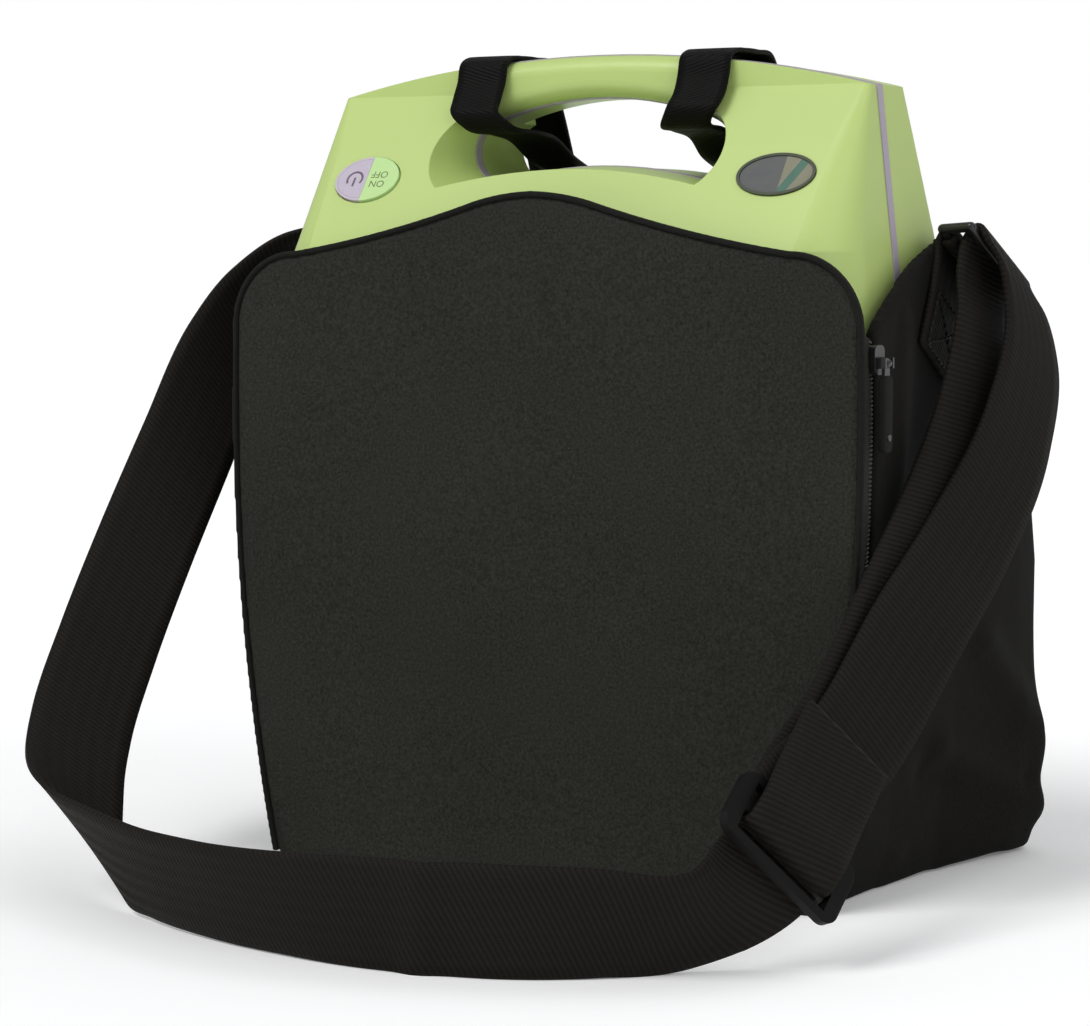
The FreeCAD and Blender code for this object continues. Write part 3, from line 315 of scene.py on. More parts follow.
# The symbol is a bar that stands in the gap of an arc, both drawn with one width of line.
LINE, BAR_TALL, BAR_MIDDLE, ARC_RADIUS, ARC_GAP = 0.0009, 0.0040, 0.0013, 0.0032, 110
bm = bmesh.new()
bmesh.ops.create_grid(bm, x_segments=1, y_segments=1, size=0.5,
                      matrix=Matrix.Translation((0, BAR_MIDDLE, 0))
                      @ Matrix.Diagonal((LINE, BAR_TALL, 1, 1)))
arc_start = Matrix.Rotation(math.radians(-ARC_GAP / 2), 3, "Z")
arc_edge = bm.edges.new([bm.verts.new(arc_start @ Vector((0, radius, 0)))
                         for radius in (ARC_RADIUS - LINE / 2, ARC_RADIUS + LINE / 2)])
bmesh.ops.spin(bm, geom=[arc_edge], cent=(0, 0, 0), axis=(0, 0, 1),
               angle=math.radians(ARC_GAP - 360), steps=32)
bm.normal_update()
bmesh.ops.reverse_faces(bm, faces=[face for face in bm.faces if face.normal.z < 0])
bmesh.ops.translate(bm, vec=(PRINT_ASIDE, 0, 0), verts=bm.verts)
mesh = bpy.data.meshes.new("power_mark")
bm.to_mesh(mesh)
bm.free()
printed("power_mark", mesh, ink)
for row, word in enumerate(("ON", "OFF")):
    letters = bpy.data.curves.new("word", "FONT")
    letters.body, letters.size = word, LETTER
    letters.align_x = letters.align_y = "CENTER"
    holder = bpy.data.objects.new("word", letters)
    studio.collection.objects.link(holder)
    bpy.context.view_layer.update()
    mesh = bpy.data.meshes.new_from_object(holder)
    bpy.data.objects.remove(holder)
    mesh.transform(Matrix.Translation((-PRINT_ASIDE, LETTER * (0.5 - row), 0)))
    printed("word_" + word.lower(), mesh, olive_ink)

# The status window: a smoked disc whose right part shows a tan field with a teal band that
# leans across it.  Places on it are shares of its width and of its height.
FIELD_START, BAND_START, BAND_END, BAND_LEAN = 0.58, 0.52, 0.66, 0.30
glass = Finish("smoked_window", (0.09, 0.10, 0.095), 0.12, Coat_Weight=0.8, Coat_Roughness=0.06)
low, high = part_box("status_window")
east, _, up = glass.axes()
share = (east - low.x) * (1 / (high.x - low.x))
tall = (up - low.z) * (1 / (high.z - low.z))
band_place = share - BAND_LEAN * tall
teal_band = (band_place > BAND_START) * (band_place < BAND_END)
mottle = glass.noise(160.0, detail=3.0)
smoke = glass.mix(mottle, (0.085, 0.095, 0.10), (0.125, 0.13, 0.115))
tan_field = glass.mix(mottle, (0.20, 0.20, 0.13), (0.27, 0.25, 0.19))
teal = glass.mix(mottle, (0.055, 0.14, 0.10), (0.09, 0.19, 0.14))
glass.paint(Base_Color=glass.mix(share > FIELD_START, smoke,
                                 glass.mix(teal_band, tan_field, teal)))
dress(glass, "status_window", "status_display")
rim = Finish("window_rim", (0.035, 0.045, 0.02), 0.4)
rim.paint(Roughness=0.32 + 0.2 * rim.noise(1500.0, detail=1.0))
dress(rim, "window_bezel")

# ---------------------------------------------------------------- what the housing holds
# Panel, film, display, speaker, board and cells.  None shows with the lid on, so each keeps
# its modelled form and takes the finish that such a piece has.
inner = {
    "panel_plastic": ((0.62, 0.68, 0.42), 0.5, 0.0, ("control_panel",)),
    "panel_film": ((0.55, 0.58, 0.54), 0.35, 0.0, ("graphics_overlay",)),
    "lens_amber": ((0.7, 0.22, 0.08), 0.15, 0.0, ("indicator_lenses", "shock_button")),
    "display_glass": ((0.16, 0.19, 0.15), 0.08, 0.0, ("lcd_display",)),
    "black_moulding": ((0.03, 0.03, 0.03), 0.45, 0.0,
                       ("power_switch", "shock_switch", "speaker", "electrode_socket",
                        "lid_latches")),
    "white_moulding": ((0.75, 0.75, 0.72), 0.5, 0.0,
                       ("electrode_pack", "battery_well", "battery_door")),
    "board_lacquer": ((0.02, 0.16, 0.07), 0.3, 0.0, ("main_board", "microphone")),
    "can_metal": ((0.62, 0.63, 0.65), 0.3, 1.0, ("capacitor", "batteries", "housing_screws")),
    "core_iron": ((0.16, 0.15, 0.14), 0.55, 0.6, ("transformer",)),
}
for name, (colour, roughness, metallic, members) in inner.items():
    finish = Finish(name, colour, roughness, Metallic=metallic)
    fleck = finish.noise(700.0, detail=3.0)
    darker = tuple(0.88 * part for part in colour)
    finish.paint(Base_Color=finish.mix(fleck, darker, colour),
                 Roughness=roughness - 0.05 + 0.1 * fleck)
    finish.relief(fleck, depth=0.00003, strength=0.3)
    dress(finish, *members)

# ---------------------------------------------------------------- case fabric
# The case is black nylon over thin foam: a plain weave of fine threads that lies on the bias
# of the panels, with slubs and a little dust.  The sides, back and floor take a darker copy of
# the same cloth, whose extra darkness is painted shade.
THREAD = 0.00085


def woven(name, colour, dark, light):
    """Plain-woven nylon with its threads, slubs and dust, from dark to light."""
    cloth = Finish(name, colour, 0.82, Sheen_Weight=0.02, Sheen_Roughness=0.4,
                   Specular_IOR_Level=0.1)
    east, depth, up = cloth.axes()
    turns = 2 * math.pi / THREAD
    across = (depth - abs(east)) * turns
    along = up * turns
    warp, weft = across.sine(), along.sine()
    over = (warp * weft) > 0.0
    weave = over * abs(warp) + (1 - over) * abs(weft)
    slub = 0.5 + 3.4 * (cloth.noise(950.0, detail=3.0, roughness=0.75) - 0.5)
    dust = cloth.noise(14.0, detail=4.0, roughness=0.6)
    tone = 0.50 * slub + 0.25 * weave + 0.25 * dust
    cloth.paint(Base_Color=cloth.mix(tone, dark, light), Roughness=0.74 + 0.2 * weave)
    cloth.relief(0.75 * weave + 0.5 * slub, depth=0.00018, strength=0.55)
    return cloth


black_cloth = woven("case_fabric", (0.018, 0.019, 0.015), (0.004, 0.004, 0.003),
                    (0.040, 0.041, 0.033))
# A darker copy of the case cloth for the sides, back and floor: painted shade on the faces that
# turn from the light.
shaded_side_cloth = woven("side_fabric_painted_shade", (0.0055, 0.005, 0.0043), (0.0015, 0.0013, 0.0010),
                   (0.0125, 0.0112, 0.0095))


def piece_from(name, *sources):
    """A new object made of merged copies of CAD nodes."""
    bm = bmesh.new()
    for source in sources:
        bm.from_mesh(nodes[source].data)
    bmesh.ops.remove_doubles(bm, verts=bm.verts, dist=0.00001)
    return placed(bm, name)


def bake(piece):
    """Applies the piece's modifiers to its mesh."""
    graph = bpy.context.evaluated_depsgraph_get()
    mesh = bpy.data.meshes.new_from_object(piece.evaluated_get(graph))
    piece.modifiers.clear()
    old, piece.data = piece.data, mesh
    bpy.data.meshes.remove(old)
    mesh.shade_smooth()


def soften(piece, grain, passes):
    """Rounds every edge of a cloth solid: fine voxels, then smoothing."""
    voxels = piece.modifiers.new("voxels", "REMESH")
    voxels.mode, voxels.voxel_size = "VOXEL", grain
    bake(piece)
    bm = bmesh.new()
    bm.from_mesh(piece.data)
    for _ in range(passes):
        bmesh.ops.smooth_vert(bm, verts=bm.verts, factor=0.5, use_axis_x=True, use_axis_y=True,
                              use_axis_z=True)
    bm.to_mesh(piece.data)
    bm.free()
    piece.data.shade_smooth()


def push(piece, move):
    """Moves every vertex by what move gives for its place and its normal."""
    moves = [move(vertex.co, vertex.normal) for vertex in piece.data.vertices]
    for vertex, step in zip(piece.data.vertices, moves):
        vertex.co += step
    piece.data.update()


def finish_piece(piece, finish):
    """Gives a modelled piece its finish."""
    piece.data.materials.clear()
    piece.data.materials.append(finish.material)


def rise(value, start, end):
    """How far value has come from start to end, held between 0 and 1."""
    return max(0.0, min(1.0, (value - start) / (end - start)))


def fold(point, start, end, width):
    """How strongly a crease from start to end is felt at point, 1 on its line."""
    start, run = Vector(start), Vector(end) - Vector(start)
    away = point - start - run * rise((point - start).dot(run), 0, run.length_squared)
    return math.exp(-(away.length / width) ** 2)


# ---------------------------------------------------------------- front of the case
# One padded panel from the ground to its arched top.  It is sewn to the case at its foot and
# zipped above, so that it folds down along a line near the ground.
CROWN, RIPPLE, NAP = 0.0016, 0.0005, 0.0005
HALF_FRONT, CROWN_TOP = 0.125, 0.24
front = piece_from("front_panel", "front_flap", "lower_front_panel")
soften(front, 0.0013, 4)


def front_give(co, normal):
    """The nap of the cloth, with a slight crown and loose ripples in the foam of the face."""
    crown = CROWN * math.cos(rise(abs(co.x), 0, HALF_FRONT) * math.pi / 2)
    crown *= math.sin(rise(co.z, 0, CROWN_TOP) * math.pi)
    ripple = RIPPLE * noise.noise(Vector((co.x * 22, 3.1, co.z * 16)))
    front_side = max(0.0, -normal.y)
    return normal * NAP + Vector((0, -(crown + ripple) * front_side, 0))


push(front, front_give)
finish_piece(front, black_cloth)
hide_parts("front_flap", "lower_front_panel")
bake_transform(front)

# Edge cord sewn round the panel: piping covered with a fine twill.
TWILL = 0.0011
binding = Finish("edge_binding", (0.010, 0.0105, 0.0085), 0.8, Sheen_Weight=0.02,
                 Specular_IOR_Level=0.1)
east, depth, up = binding.axes()
twill = (east + depth + up).wave(TWILL)
lint = binding.noise(500.0, detail=3.0)
binding.paint(Base_Color=binding.mix(0.6 * lint + 0.4 * twill, (0.003, 0.003, 0.0024),
                                     (0.017, 0.0175, 0.0145)))
binding.relief(twill, depth=0.00015, strength=0.6)
cord_edge = piece_from("edge_cord", "flap_piping", "lower_piping")
soften(cord_edge, 0.0006, 3)
push(cord_edge, lambda co, normal: normal * 0.0003)
finish_piece(cord_edge, binding)
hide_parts("flap_piping", "lower_piping")
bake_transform(cord_edge)

# ---------------------------------------------------------------- sides, back and floor
# Two side panels that wrap the rear corners, a stiffer back and a flat floor, seamed together.
# The sides are slack: soft folds run down from the strap tabs and bunch at the rear of the foot.
side_folds = (((-0.030, 0.200), (-0.046, 0.120), 0.0016, 0.007),
              ((-0.018, 0.150), (-0.040, 0.060), -0.0014, 0.008),
              ((0.064, 0.016), (0.010, 0.047), 0.0034, 0.007),
              ((0.070, 0.036), (0.030, 0.082), 0.0030, 0.008),
              ((0.052, 0.028), (0.000, 0.040), -0.0024, 0.006),
              ((-0.050, 0.030), (-0.010, 0.012), 0.0012, 0.006))
FOOT_BULGE = 0.0150
SIDE_BELLY, SIDE_SWELL, FOOT_SWELL = 0.0012, 0.0065, 0.0100


def foot_fill(co):
    """How far the slack foot of the case bulges back, all the way down from a soft start."""
    low_part = rise(co.z, 0.205, 0.130)
    return FOOT_BULGE * low_part * low_part * (3 - 2 * low_part) * rise(co.y, 0.005, 0.060)


def side_give(co, normal):
    """Folds, belly and the swollen foot of a side, which lies calm along the floor and zip."""
    outward = max(0.0, abs(normal.x) * math.copysign(1, normal.x * co.x))
    rear = max(0.0, normal.y)
    spot = Vector((co.y, co.z))
    loose = sum(height * fold(spot, start, end, width)
                for start, end, height, width in side_folds)
    loose += 0.0009 * noise.noise(Vector((co.y * 24, co.z * 15, 7.7)))
    belly = SIDE_BELLY * math.sin(rise(co.z, 0, 0.2) * math.pi)
    calm = rise(co.z, 0, 0.012) * rise(co.y, -0.054, -0.038)
    swell = SIDE_SWELL * rise(co.y, -0.02, 0.05) * rise(co.z, 0.17, 0.11)
    swell += FOOT_SWELL * math.exp(-((co.z - 0.018) / 0.044) ** 2) * rise(co.y, 0.015, 0.060)
    push_out = ((loose + belly) * calm + swell) * outward
    ruffle = 0.0006 * rear * noise.noise(Vector((co.x * 20, co.z * 18, 2.2)))
    return Vector((math.copysign(push_out, co.x), foot_fill(co) + ruffle, 0))


for side in ("right", "left"):
    wall = piece_from("side_" + side, "side_panel_" + side)
    soften(wall, 0.0017, 6)
    push(wall, side_give)
    finish_piece(wall, shaded_side_cloth)
    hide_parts("side_panel_" + side)
    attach(wall, "unit_and_case")


def back_give(co, normal):
    """The padded back stands out softly between its edge seams, and bulges at its foot."""
    pad = 0.0015 * math.cos(rise(abs(co.x), 0, 0.1) * math.pi / 2)
    rear = max(0.0, normal.y)
    ruffle = 0.0006 * noise.noise(Vector((co.x * 18, co.z * 14, 5.0)))
    return Vector((0, (foot_fill(co) + pad) * rear + ruffle, 0))


back = piece_from("back", "back_panel")
soften(back, 0.002, 6)
push(back, back_give)
finish_piece(back, shaded_side_cloth)
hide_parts("back_panel")
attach(back, "unit_and_case")
dress(shaded_side_cloth, "bottom_panel")

# ---------------------------------------------------------------- webbing
# Straps are nylon webbing: ribs run across it, two millimetres apart, between flat woven
# edges.  A band is laid along its stations, each a place, the direction across and a width.
RIB, RIB_SKEW, YARN = 0.0020, 0.35, 0.0009
webbing_black = Finish("webbing", (0.007, 0.006, 0.005), 0.62, Sheen_Weight=0.02,
                       Sheen_Roughness=0.35, Specular_IOR_Level=0.12)
strap_u, strap_v = webbing_black.cloth()
weft_rib = (strap_v + RIB_SKEW * strap_u).wave(RIB)
yarn = strap_u.wave(YARN)
fuzz = webbing_black.noise(650.0, detail=3.0, roughness=0.6)
wear = webbing_black.noise(30.0, detail=3.0)
webbing_black.paint(
    Base_Color=webbing_black.mix(0.45 * weft_rib + 0.25 * fuzz + 0.15 * yarn + 0.15 * wear,
                                 (0.0015, 0.0012, 0.0009), (0.0165, 0.0140, 0.0110)),
    Roughness=0.55 + 0.25 * fuzz)
webbing_black.relief(0.7 * weft_rib + 0.15 * yarn + 0.15 * fuzz, depth=0.00035, strength=0.6)


def along_line(stations, step):
    """Even rows of (place, across, width factor) on a smooth line through the stations.

    A station is its place in millimetres, the direction across the band there and, where the
    band is folded wider, a width factor, which is carried as a vector so that it is blended
    as the other two are.
    """
    knots = [(Vector(place) * 0.001, Vector(across).normalized(), Vector((*widen, 1.0)[:1] * 3))
             for place, across, *widen in stations]
    gaps = [max(1e-6, (b[0] - a[0]).length) for a, b in zip(knots, knots[1:])]

    def slope(part, n):
        if n == 0 or n == len(knots) - 1:
            near, far = (0, 1) if n == 0 else (n - 1, n)
            return (knots[far][part] - knots[near][part]) / gaps[near]
        before, after = gaps[n - 1], gaps[n]
        return ((knots[n][part] - knots[n - 1][part]) * (after / before)
                + (knots[n + 1][part] - knots[n][part]) * (before / after)) / (before + after)

    def between(part, n, t):
        a, b = knots[n][part], knots[n + 1][part]
        lead, trail = slope(part, n) * gaps[n], slope(part, n + 1) * gaps[n]
        return (a * (2 * t ** 3 - 3 * t * t + 1) + lead * (t ** 3 - 2 * t * t + t)
                + b * (3 * t * t - 2 * t ** 3) + trail * (t ** 3 - t * t))
    rows = []
    for n, gap in enumerate(gaps):
        count = max(1, round(gap / step))
        rows += [[between(part, n, k / count) for part in range(3)] for k in range(count)]
    rows.append(knots[-1])
    return [(place, across.normalized(), widen[0]) for place, across, widen in rows]


def face_at(rows, row, share, wide, lift):
    """A place on a band: share of its width from the middle, lift above its middle plane."""
    place, across, factor = rows[row]
    ahead = rows[min(row + 1, len(rows) - 1)][0] - rows[max(row - 1, 0)][0]
    return place + across * (share * wide * factor) + ahead.cross(across).normalized() * lift


def band(name, stations, wide, thick, finish, step=0.001, ribs=0.00012, columns=8, give=None):
    """A strap as a ribbed ribbon with the thickness of its webbing, and its rows and length."""
    rows = along_line(stations, step)
    last = len(rows) - 1
    length = [0.0]
    for near, far in zip(rows, rows[1:]):
        length.append(length[-1] + (far[0] - near[0]).length)
    bm = bmesh.new()
    bmesh.ops.create_grid(bm, x_segments=last, y_segments=columns, size=0.5, calc_uvs=True)
    layer = bm.loops.layers.uv.verify()
    cloth = {}
    for vertex in bm.verts:
        row, share = round((vertex.co.x + 0.5) * last), vertex.co.y
        rib = ribs * (1 if row % 2 else -1) * (1 - (2 * share) ** 6)
        vertex.co = face_at(rows, row, share, wide,
                            rib + (give(rows[row][0], share) if give else 0.0))
        cloth[vertex] = (share * wide, length[row])
    for face in bm.faces:
        for corner in face.loops:
            corner[layer].uv = cloth[corner.vert]
    strap = placed(bm, name)
    strap.data.uv_layers[0].name = "cloth"
    skin = strap.modifiers.new("skin", "SOLIDIFY")
    skin.thickness, skin.offset = thick, 0.0
    bake(strap)
    finish_piece(strap, finish)
    return strap, rows, length[-1]


def mirrored(stations):
    """The same run on the case's other side."""
    return [((-x, y, z), (-a, b, c), *widen) for (x, y, z), (a, b, c), *widen in stations]


# Stitches are thick bonded thread: short round-ended dashes that dip at both ends.
SEAM_IN = 0.0045
thread_black = Finish("thread", (0.022, 0.020, 0.018), 0.5, Specular_IOR_Level=0.2)
ply = thread_black.noise(1600.0)
thread_black.paint(Base_Color=thread_black.mix(ply, (0.012, 0.011, 0.0095),
                                               (0.032, 0.030, 0.026)))
thread_black.relief(ply, depth=0.0001, strength=0.5)


def stitches(name, path, body, pitch=0.0033, long=0.0027, thick=0.0008):
    """Dashes of thread along a path of (place, direction out of the cloth)."""
    bm = bmesh.new()
    for (start, out), (end, _) in zip(path, path[1:]):
        run = end - start
        side = run.cross(out).normalized()
        turn = Matrix((run.normalized(), side, side.cross(run).normalized())).transposed()
        count = max(1, round(run.length / pitch))
        for k in range(count):
            place = Matrix.Translation(start + run * ((k + 0.5) / count))
            bmesh.ops.create_uvsphere(bm, u_segments=6, v_segments=4, radius=0.5,
                                      matrix=place @ turn.to_4x4()
                                      @ Matrix.Diagonal((long, thick, thick, 1)))
    piece = placed(bm, name, smooth=True)
    finish_piece(piece, thread_black)
    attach(piece, body)
    return piece


def box_stitch(name, rows, wide, lift, first, last, body):
    """A sewn box with a cross in it, on a band between two of its rows."""
    inset = 0.5 - SEAM_IN / wide
    corners = [(first, -inset), (first, inset), (last, inset), (last, -inset), (first, -inset),
               (last, inset), (last, -inset), (first, inset)]
    path = []
    for (row, share), (row_b, share_b) in zip(corners, corners[1:]):
        steps = max(1, round(max(abs(row_b - row) / 4, abs(share_b - share) * 6)))
        for k in range(steps):
            t = k / steps
            near = min(len(rows) - 2, max(1, round(row + (row_b - row) * t)))
            share_t = share + (share_b - share) * t
            foot = face_at(rows, near, share_t, wide, 0.0)
            top = face_at(rows, near, share_t, wide, lift)
            path.append((top, (top - foot).normalized()))
    return stitches(name, path, body)


# ---------------------------------------------------------------- side rings and their tabs
# A rectangular ring of black-lacquered wire hangs in a tab of webbing on each side of the
# case.  The tab is doubled round the ring's inner bar and box-stitched to the side panel.
lacquer = Finish("black_metal", (0.008, 0.008, 0.008), 0.3, Coat_Weight=0.35,
                 Coat_Roughness=0.12, Specular_IOR_Level=0.3)
scuff = lacquer.noise(240.0, detail=4.0, roughness=0.7)
lacquer.paint(Base_Color=lacquer.mix(scuff, (0.005, 0.005, 0.005), (0.014, 0.0135, 0.013)),
              Roughness=0.2 + 0.25 * scuff)
lacquer.relief(scuff, depth=0.00004, strength=0.4, edge=0.0003)
dress(lacquer, "strap_ring_right", "strap_ring_left", "zip_slider_right", "zip_slider_left")

STRAP_WIDE, STRAP_THICK, STITCH_LIFT = 0.038, 0.0018, 0.0010
bar_across = (0.12, 0.84, -0.53)
tab_run = [((127.2, -5.5, 183.8), (0, 0.85, -0.53)), ((126.8, 0.4, 193.1), (0, 0.85, -0.53)),
           ((126.3, 6.3, 202.4), (0, 0.85, -0.53)), ((125.7, 12.7, 212.5), (0.04, 0.85, -0.53)),
           ((126.2, 18.3, 220.8), bar_across), ((127.3, 19.4, 222.9), bar_across),
           ((130.0, 19.5, 223.5), bar_across), ((131.9, 18.4, 222.3), bar_across),
           ((131.9, 17.0, 220.1), bar_across), ((130.0, 16.3, 218.6), bar_across),
           ((128.4, 16.5, 218.5), bar_across)]
for side, run, outward in (("right", tab_run, -STITCH_LIFT),
                           ("left", mirrored(tab_run), STITCH_LIFT)):
    tab, rows, length = band("tab_" + side, run, STRAP_WIDE, STRAP_THICK, webbing_black)
    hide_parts("ring_tab_" + side)
    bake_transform(tab)
    sewn = box_stitch("tab_stitch_" + side, rows, STRAP_WIDE, outward, 2, 24, "unit_and_case")
    "strap_ring_" + side

# ---------------------------------------------------------------- shoulder strap
# One length of webbing.  It is looped round the middle bar of a moulded adjuster, rises to the
# right ring, comes back down inside itself, lies on its edge along the ground in front of the
# case, folds over at the left and climbs to the left ring.
strap_run = [
    ((143.9, -115.1, 69.9), (0.46, 0.54, -0.70)), ((143.5, -133.9, 55.0), (0.46, 0.54, -0.70)),
    ((143.0, -151.2, 41.4), (0.46, 0.54, -0.70)), ((142.0, -153.1, 39.2), (0.46, 0.54, -0.70)),
    ((139.4, -153.1, 37.5), (0.46, 0.54, -0.70)), ((136.9, -151.4, 37.3), (0.46, 0.54, -0.70)),
    ((136.0, -148.8, 38.6), (0.46, 0.54, -0.70)), ((136.4, -131.5, 52.2), (0.46, 0.54, -0.70)),
    ((142.0, -110.0, 65.5), (0.46, 0.66, -0.58)), ((148.5, -70.0, 101.0), (0.48, 0.70, -0.52)),
    ((151.0, -32.0, 128.0), (0.42, 0.74, -0.50)), ((153.5, 4.0, 163.0), (0.26, 0.82, -0.50)),
    ((151.5, 21.0, 194.0), (0.16, 0.84, -0.50)), ((147.5, 21.0, 212.0), bar_across),
    ((143.1, 16.7, 222.2), bar_across), ((142.2, 17.9, 223.7), bar_across),
    ((140.1, 18.5, 224.3), bar_across), ((138.1, 18.3, 223.5), bar_across),
    ((137.1, 17.4, 221.8), bar_across), ((136.8, 10.8, 211.0), bar_across),
    ((140.5, 3.0, 196.0), (0.14, 0.84, -0.53)), ((141.8, -8.0, 170.0), (0.26, 0.80, -0.52)),
    ((142.8, -34.0, 140.0), (0.36, 0.74, -0.52)), ((141.5, -66.0, 108.0), (0.42, 0.70, -0.55)),
    ((138.5, -98.0, 76.0), (0.44, 0.62, -0.62)), ((134.4, -131.7, 50.8), (0.46, 0.54, -0.70)),
    ((133.8, -154.4, 32.9), (0.46, 0.54, -0.70)), ((117.0, -172.0, 18.6), (-0.20, 0.44, -0.85)),
    ((93.0, -190.0, 18.8), (-0.08, 0.30, -0.95)), ((64.5, -204.0, 18.9), (0.08, 0.21, -0.97)),
    ((34.0, -212.0, 19.0), (0.05, 0.21, -0.98)), ((-4.0, -215.0, 18.7), (0.05, 0.33, -0.94)),
    ((-40.0, -210.0, 18.4), (0.0, 0.40, -0.92)), ((-76.0, -199.0, 19.4), (0.02, 0.42, -0.91)),
    ((-116.0, -179.0, 25.6), (0.66, 0.16, -0.73), 1.1),
    ((-133.0, -162.0, 42.0), (0.80, 0.42, -0.42)), ((-144.0, -144.0, 56.0), (0.80, 0.44, -0.40)),
    ((-156.0, -114.0, 80.0), (0.79, 0.45, -0.42)), ((-165.0, -80.0, 112.0), (0.76, 0.48, -0.44)),
    ((-170.0, -45.0, 150.0), (0.66, 0.54, -0.52)),
    ((-171.5, -15.0, 187.0), (0.44, 0.66, -0.61)), ((-165.0, 1.0, 208.0), (0.20, 0.80, -0.57)),
    ((-152.0, 13.0, 222.0), (-0.06, 0.84, -0.53)), ((-141.1, 18.3, 224.2), (-0.12, 0.84, -0.53)),
    ((-138.7, 18.5, 223.9), (-0.12, 0.84, -0.53)), ((-137.2, 17.6, 222.2), (-0.12, 0.84, -0.53)),
    ((-137.6, 16.3, 220.2), (-0.12, 0.84, -0.53)), ((-139.6, 15.3, 219.1), (-0.12, 0.84, -0.53))]


FOLD_TALL, FOLD_WIDE, FOLD_PLACE, GROUND_START = 0.0016, 0.006, 0.042, -0.165


def strap_give(place, share):
    """A soft crease where the strap was folded, and slack waves along the ground."""
    if place.y > GROUND_START:
        return 0.0
    crease_line = FOLD_PLACE - 0.2 * STRAP_WIDE * share
    crease = FOLD_TALL * math.exp(-((place.x - crease_line) / FOLD_WIDE) ** 2)
    return crease + 0.0006 * noise.noise(Vector((place.x * 30, share * 1.3, 4.0)))


strap, rows, length = band("shoulder_strap_band", strap_run, STRAP_WIDE, STRAP_THICK,
                           webbing_black, give=strap_give)
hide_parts("shoulder_strap")
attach(strap, "strap")
strap_end = box_stitch("strap_end_stitch", rows, STRAP_WIDE, -STITCH_LIFT, 4, 22, "strap")
left_end = box_stitch("strap_left_stitch", rows, STRAP_WIDE, STITCH_LIFT, len(rows) - 34,
                      len(rows) - 16, "strap")

# The adjuster is moulded in black acetal, with a faint spark texture.
acetal = Finish("adjuster_plastic", (0.004, 0.004, 0.0035), 0.4, Specular_IOR_Level=0.15)
acetal_grain = acetal.noise(1400.0)
acetal.paint(Base_Color=acetal.mix(acetal_grain, (0.0025, 0.0025, 0.0023),
                                   (0.006, 0.006, 0.0055)),
             Roughness=0.34 + 0.15 * acetal_grain)
acetal.relief(acetal_grain, depth=0.00004, strength=0.5, edge=0.0006)
dress(acetal, "strap_adjuster")

# ---------------------------------------------------------------- grip straps
# Two narrower bands hold the unit's grip: each comes up from behind the case's back, runs over
# the grip, turns in through the finger opening and back down behind it.
GRIP_WIDE, GRIP_THICK, GRIP_RIB = 0.020, 0.0015, 0.0013
grip_black = Finish("grip_webbing", (0.0025, 0.0024, 0.0022), 0.5, Specular_IOR_Level=0.09)
strap_u, strap_v = grip_black.cloth()
fine = (strap_v + 0.3 * strap_u).wave(GRIP_RIB)
down = grip_black.noise(700.0, detail=3.0, roughness=0.6)
grip_black.paint(Base_Color=grip_black.mix(0.5 * fine + 0.5 * down, (0.0006, 0.0005, 0.0004),
                                           (0.0048, 0.0042, 0.0037)),
                 Roughness=0.42 + 0.25 * down)
grip_black.relief(0.8 * fine + 0.2 * down, depth=0.00025, strength=0.6)
grip_run = [(46.0, 36.1, 213.0), (46.0, 32.3, 226.0), (46.0, 28.8, 238.0),
            (46.0, 24.6, 256.0), (46.0, 18.6, 270.0), (46.0, 12.7, 283.0),
            (46.0, 10.8, 291.7), (46.0, 7.7, 295.2), (46.0, -5.0, 296.6),
            (46.0, -15.0, 296.6), (46.0, -21.2, 296.2), (46.0, -26.0, 294.0),
            (46.0, -28.2, 287.2), (46.0, -31.8, 280.2), (45.0, -34.8, 275.9),
            (41.0, -31.8, 270.9), (38.0, -17.0, 268.9), (38.0, -4.0, 266.9),
            (37.0, 7.7, 260.4), (37.0, 19.6, 256.2)]
grip_run = [(place, (1, 0, 0)) for place in grip_run]
for side, run in (("right", grip_run), ("left", mirrored(grip_run))):
    loop, _, length = band("grip_strap_" + side, run, GRIP_WIDE, GRIP_THICK, grip_black,
                           ribs=0.00009, columns=6)
    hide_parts("handle_strap_" + side)
    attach(loop, "unit_and_case")

# ---------------------------------------------------------------- zip
# A coil zip runs up each side between the front panel and the side panel: nylon turns on a
# narrow woven tape.  Its slider is lacquered metal and has a fabric pull.
TAPE_WIDE, TAPE_THICK, TAPE_IN = 0.003, 0.0010, 0.0016
ZIP_PITCH, COIL_IN, COIL_TURN = 0.0015, 0.0008, (0.0014, 0.0027, 0.0012, 1)
CASE_HALF, WIDEST_AT, SIDE_BOW = 0.127, 0.165, 1.6
zip_low, zip_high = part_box("zip_right")


def zip_edge(z):
    """Half the case's width along the zip."""
    return CASE_HALF - (z - WIDEST_AT) ** 2 / SIDE_BOW


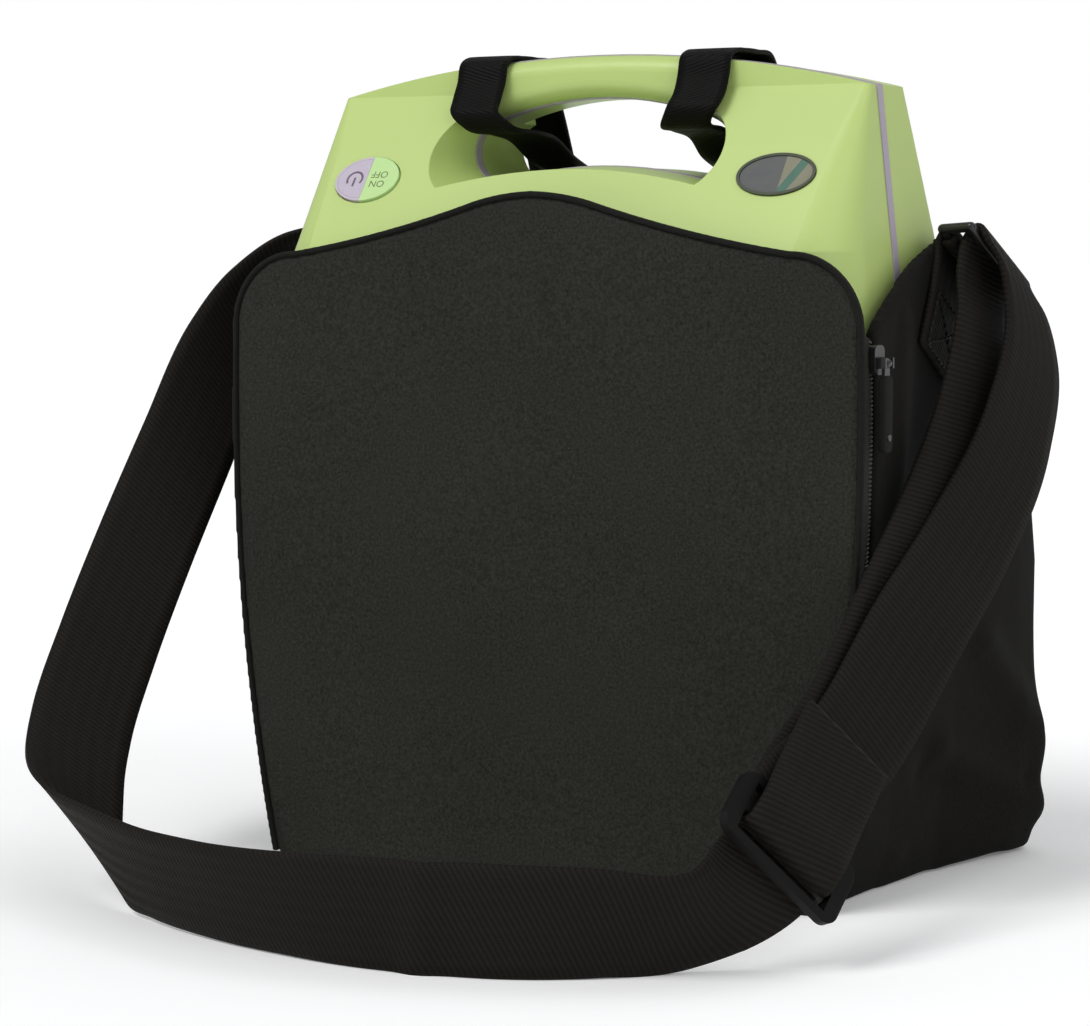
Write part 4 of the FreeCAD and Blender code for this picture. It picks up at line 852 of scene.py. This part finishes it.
coil_black = Finish("zip_coil", (0.02, 0.02, 0.02), 0.35)
coil_grain = coil_black.noise(1500.0)
coil_black.paint(Base_Color=coil_black.mix(coil_grain, (0.013, 0.013, 0.013),
                                           (0.035, 0.035, 0.034)))
coil_black.relief(coil_grain, depth=0.00004, strength=0.4)
zip_middle = (zip_low.y + zip_high.y) / 2
zip_heights = [zip_low.z + (zip_high.z - zip_low.z) * n / 8 for n in range(9)]
for side, sign in (("right", 1), ("left", -1)):
    run = [((sign * 1000 * (zip_edge(z) - TAPE_IN), 1000 * zip_middle, 1000 * z), (0, 1, 0))
           for z in zip_heights]
    tape = band("zip_tape_" + side, run, TAPE_WIDE, TAPE_THICK, webbing_black, step=0.002,
                ribs=0.0, columns=3)[0]
    bm = bmesh.new()
    for k in range(int((zip_high.z - zip_low.z) / ZIP_PITCH)):
        z = zip_low.z + (k + 0.5) * ZIP_PITCH
        place = Matrix.Translation((sign * (zip_edge(z) - COIL_IN), zip_middle, z))
        bmesh.ops.create_uvsphere(bm, u_segments=8, v_segments=5, radius=0.5,
                                  matrix=place @ Matrix.Diagonal(COIL_TURN))
    coil = placed(bm, "zip_coil_" + side, smooth=True)
    finish_piece(coil, coil_black)
    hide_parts("zip_" + side)
    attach(tape, "unit_and_case")
    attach(coil, "unit_and_case")

# ---------------------------------------------------------------- zip pulls
# Each pull is a doubled fabric tab with rounded edges.  A black metal lug and eye join it to
# the pin of the slider, and a rivet goes through its foot.
TAB_THICK, TAB_WIDE, TAB_TALL = 0.0026, 0.0068, 0.0258
CORNER, EDGE = 0.0022, 0.0006
EYE_RADIUS, EYE_WIRE, EYE_STRETCH, EYE_DOWN = 0.0014, 0.0005, 3.4, 0.0018
RIVET_UP, LUG, LUG_DOWN = 0.005, (0.0012, 0.004, 0.0045, 1), 0.0048
for side, sign in (("right", 1), ("left", -1)):
    low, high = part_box("zip_pull_" + side)
    middle = (low + high) / 2
    bm = bmesh.new()
    bmesh.ops.create_cube(bm, size=1.0)
    bmesh.ops.scale(bm, vec=(TAB_THICK, TAB_WIDE, TAB_TALL), verts=bm.verts)
    through = [edge for edge in bm.edges
               if abs(edge.verts[0].co.x - edge.verts[1].co.x) > 0.001]
    bmesh.ops.bevel(bm, geom=through, offset=CORNER, segments=5, affect="EDGES", profile=0.5,
                    material=-1)
    rims = [edge for edge in bm.edges
            if abs(edge.verts[0].co.x - edge.verts[1].co.x) < 0.0001]
    bmesh.ops.bevel(bm, geom=rims, offset=EDGE, segments=3, affect="EDGES", profile=0.5,
                    material=-1)
    bmesh.ops.translate(bm, vec=(middle.x, middle.y, low.z + TAB_TALL / 2), verts=bm.verts)
    pull = placed(bm, "pull_tab_" + side, smooth=True)
    finish_piece(pull, binding)

    bm = bmesh.new()
    upright = Matrix.Rotation(math.pi / 2, 4, "X")
    bmesh.ops.create_circle(bm, segments=10, radius=EYE_WIRE,
                            matrix=Matrix.Translation((EYE_RADIUS, 0, 0)) @ upright)
    bmesh.ops.spin(bm, geom=bm.edges[:], cent=(0, 0, 0), axis=(0, 0, 1), angle=2 * math.pi,
                   steps=24, use_merge=True)
    bmesh.ops.scale(bm, vec=(1, 1, EYE_STRETCH), verts=bm.verts)
    bmesh.ops.rotate(bm, verts=bm.verts, cent=(0, 0, 0), matrix=upright.to_3x3())
    bmesh.ops.translate(bm, vec=(middle.x, middle.y, high.z - EYE_DOWN), verts=bm.verts)
    sideways = Matrix.Rotation(sign * math.pi / 2, 4, "Y")
    bmesh.ops.create_cone(bm, cap_ends=True, segments=20, radius1=0.0019, radius2=0.0012,
                          depth=0.0036, matrix=Matrix.Translation(
                              (middle.x, middle.y, low.z + RIVET_UP)) @ sideways)
    bmesh.ops.create_cube(bm, size=1.0, matrix=Matrix.Translation(
        (middle.x, middle.y, high.z - LUG_DOWN)) @ Matrix.Diagonal(LUG))
    bmesh.ops.recalc_face_normals(bm, faces=bm.faces)
    metal = placed(bm, "pull_metal_" + side)
    finish_piece(metal, lacquer)
    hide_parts("zip_pull_" + side)
    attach(pull, side + "_pull")
    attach(metal, side + "_pull")
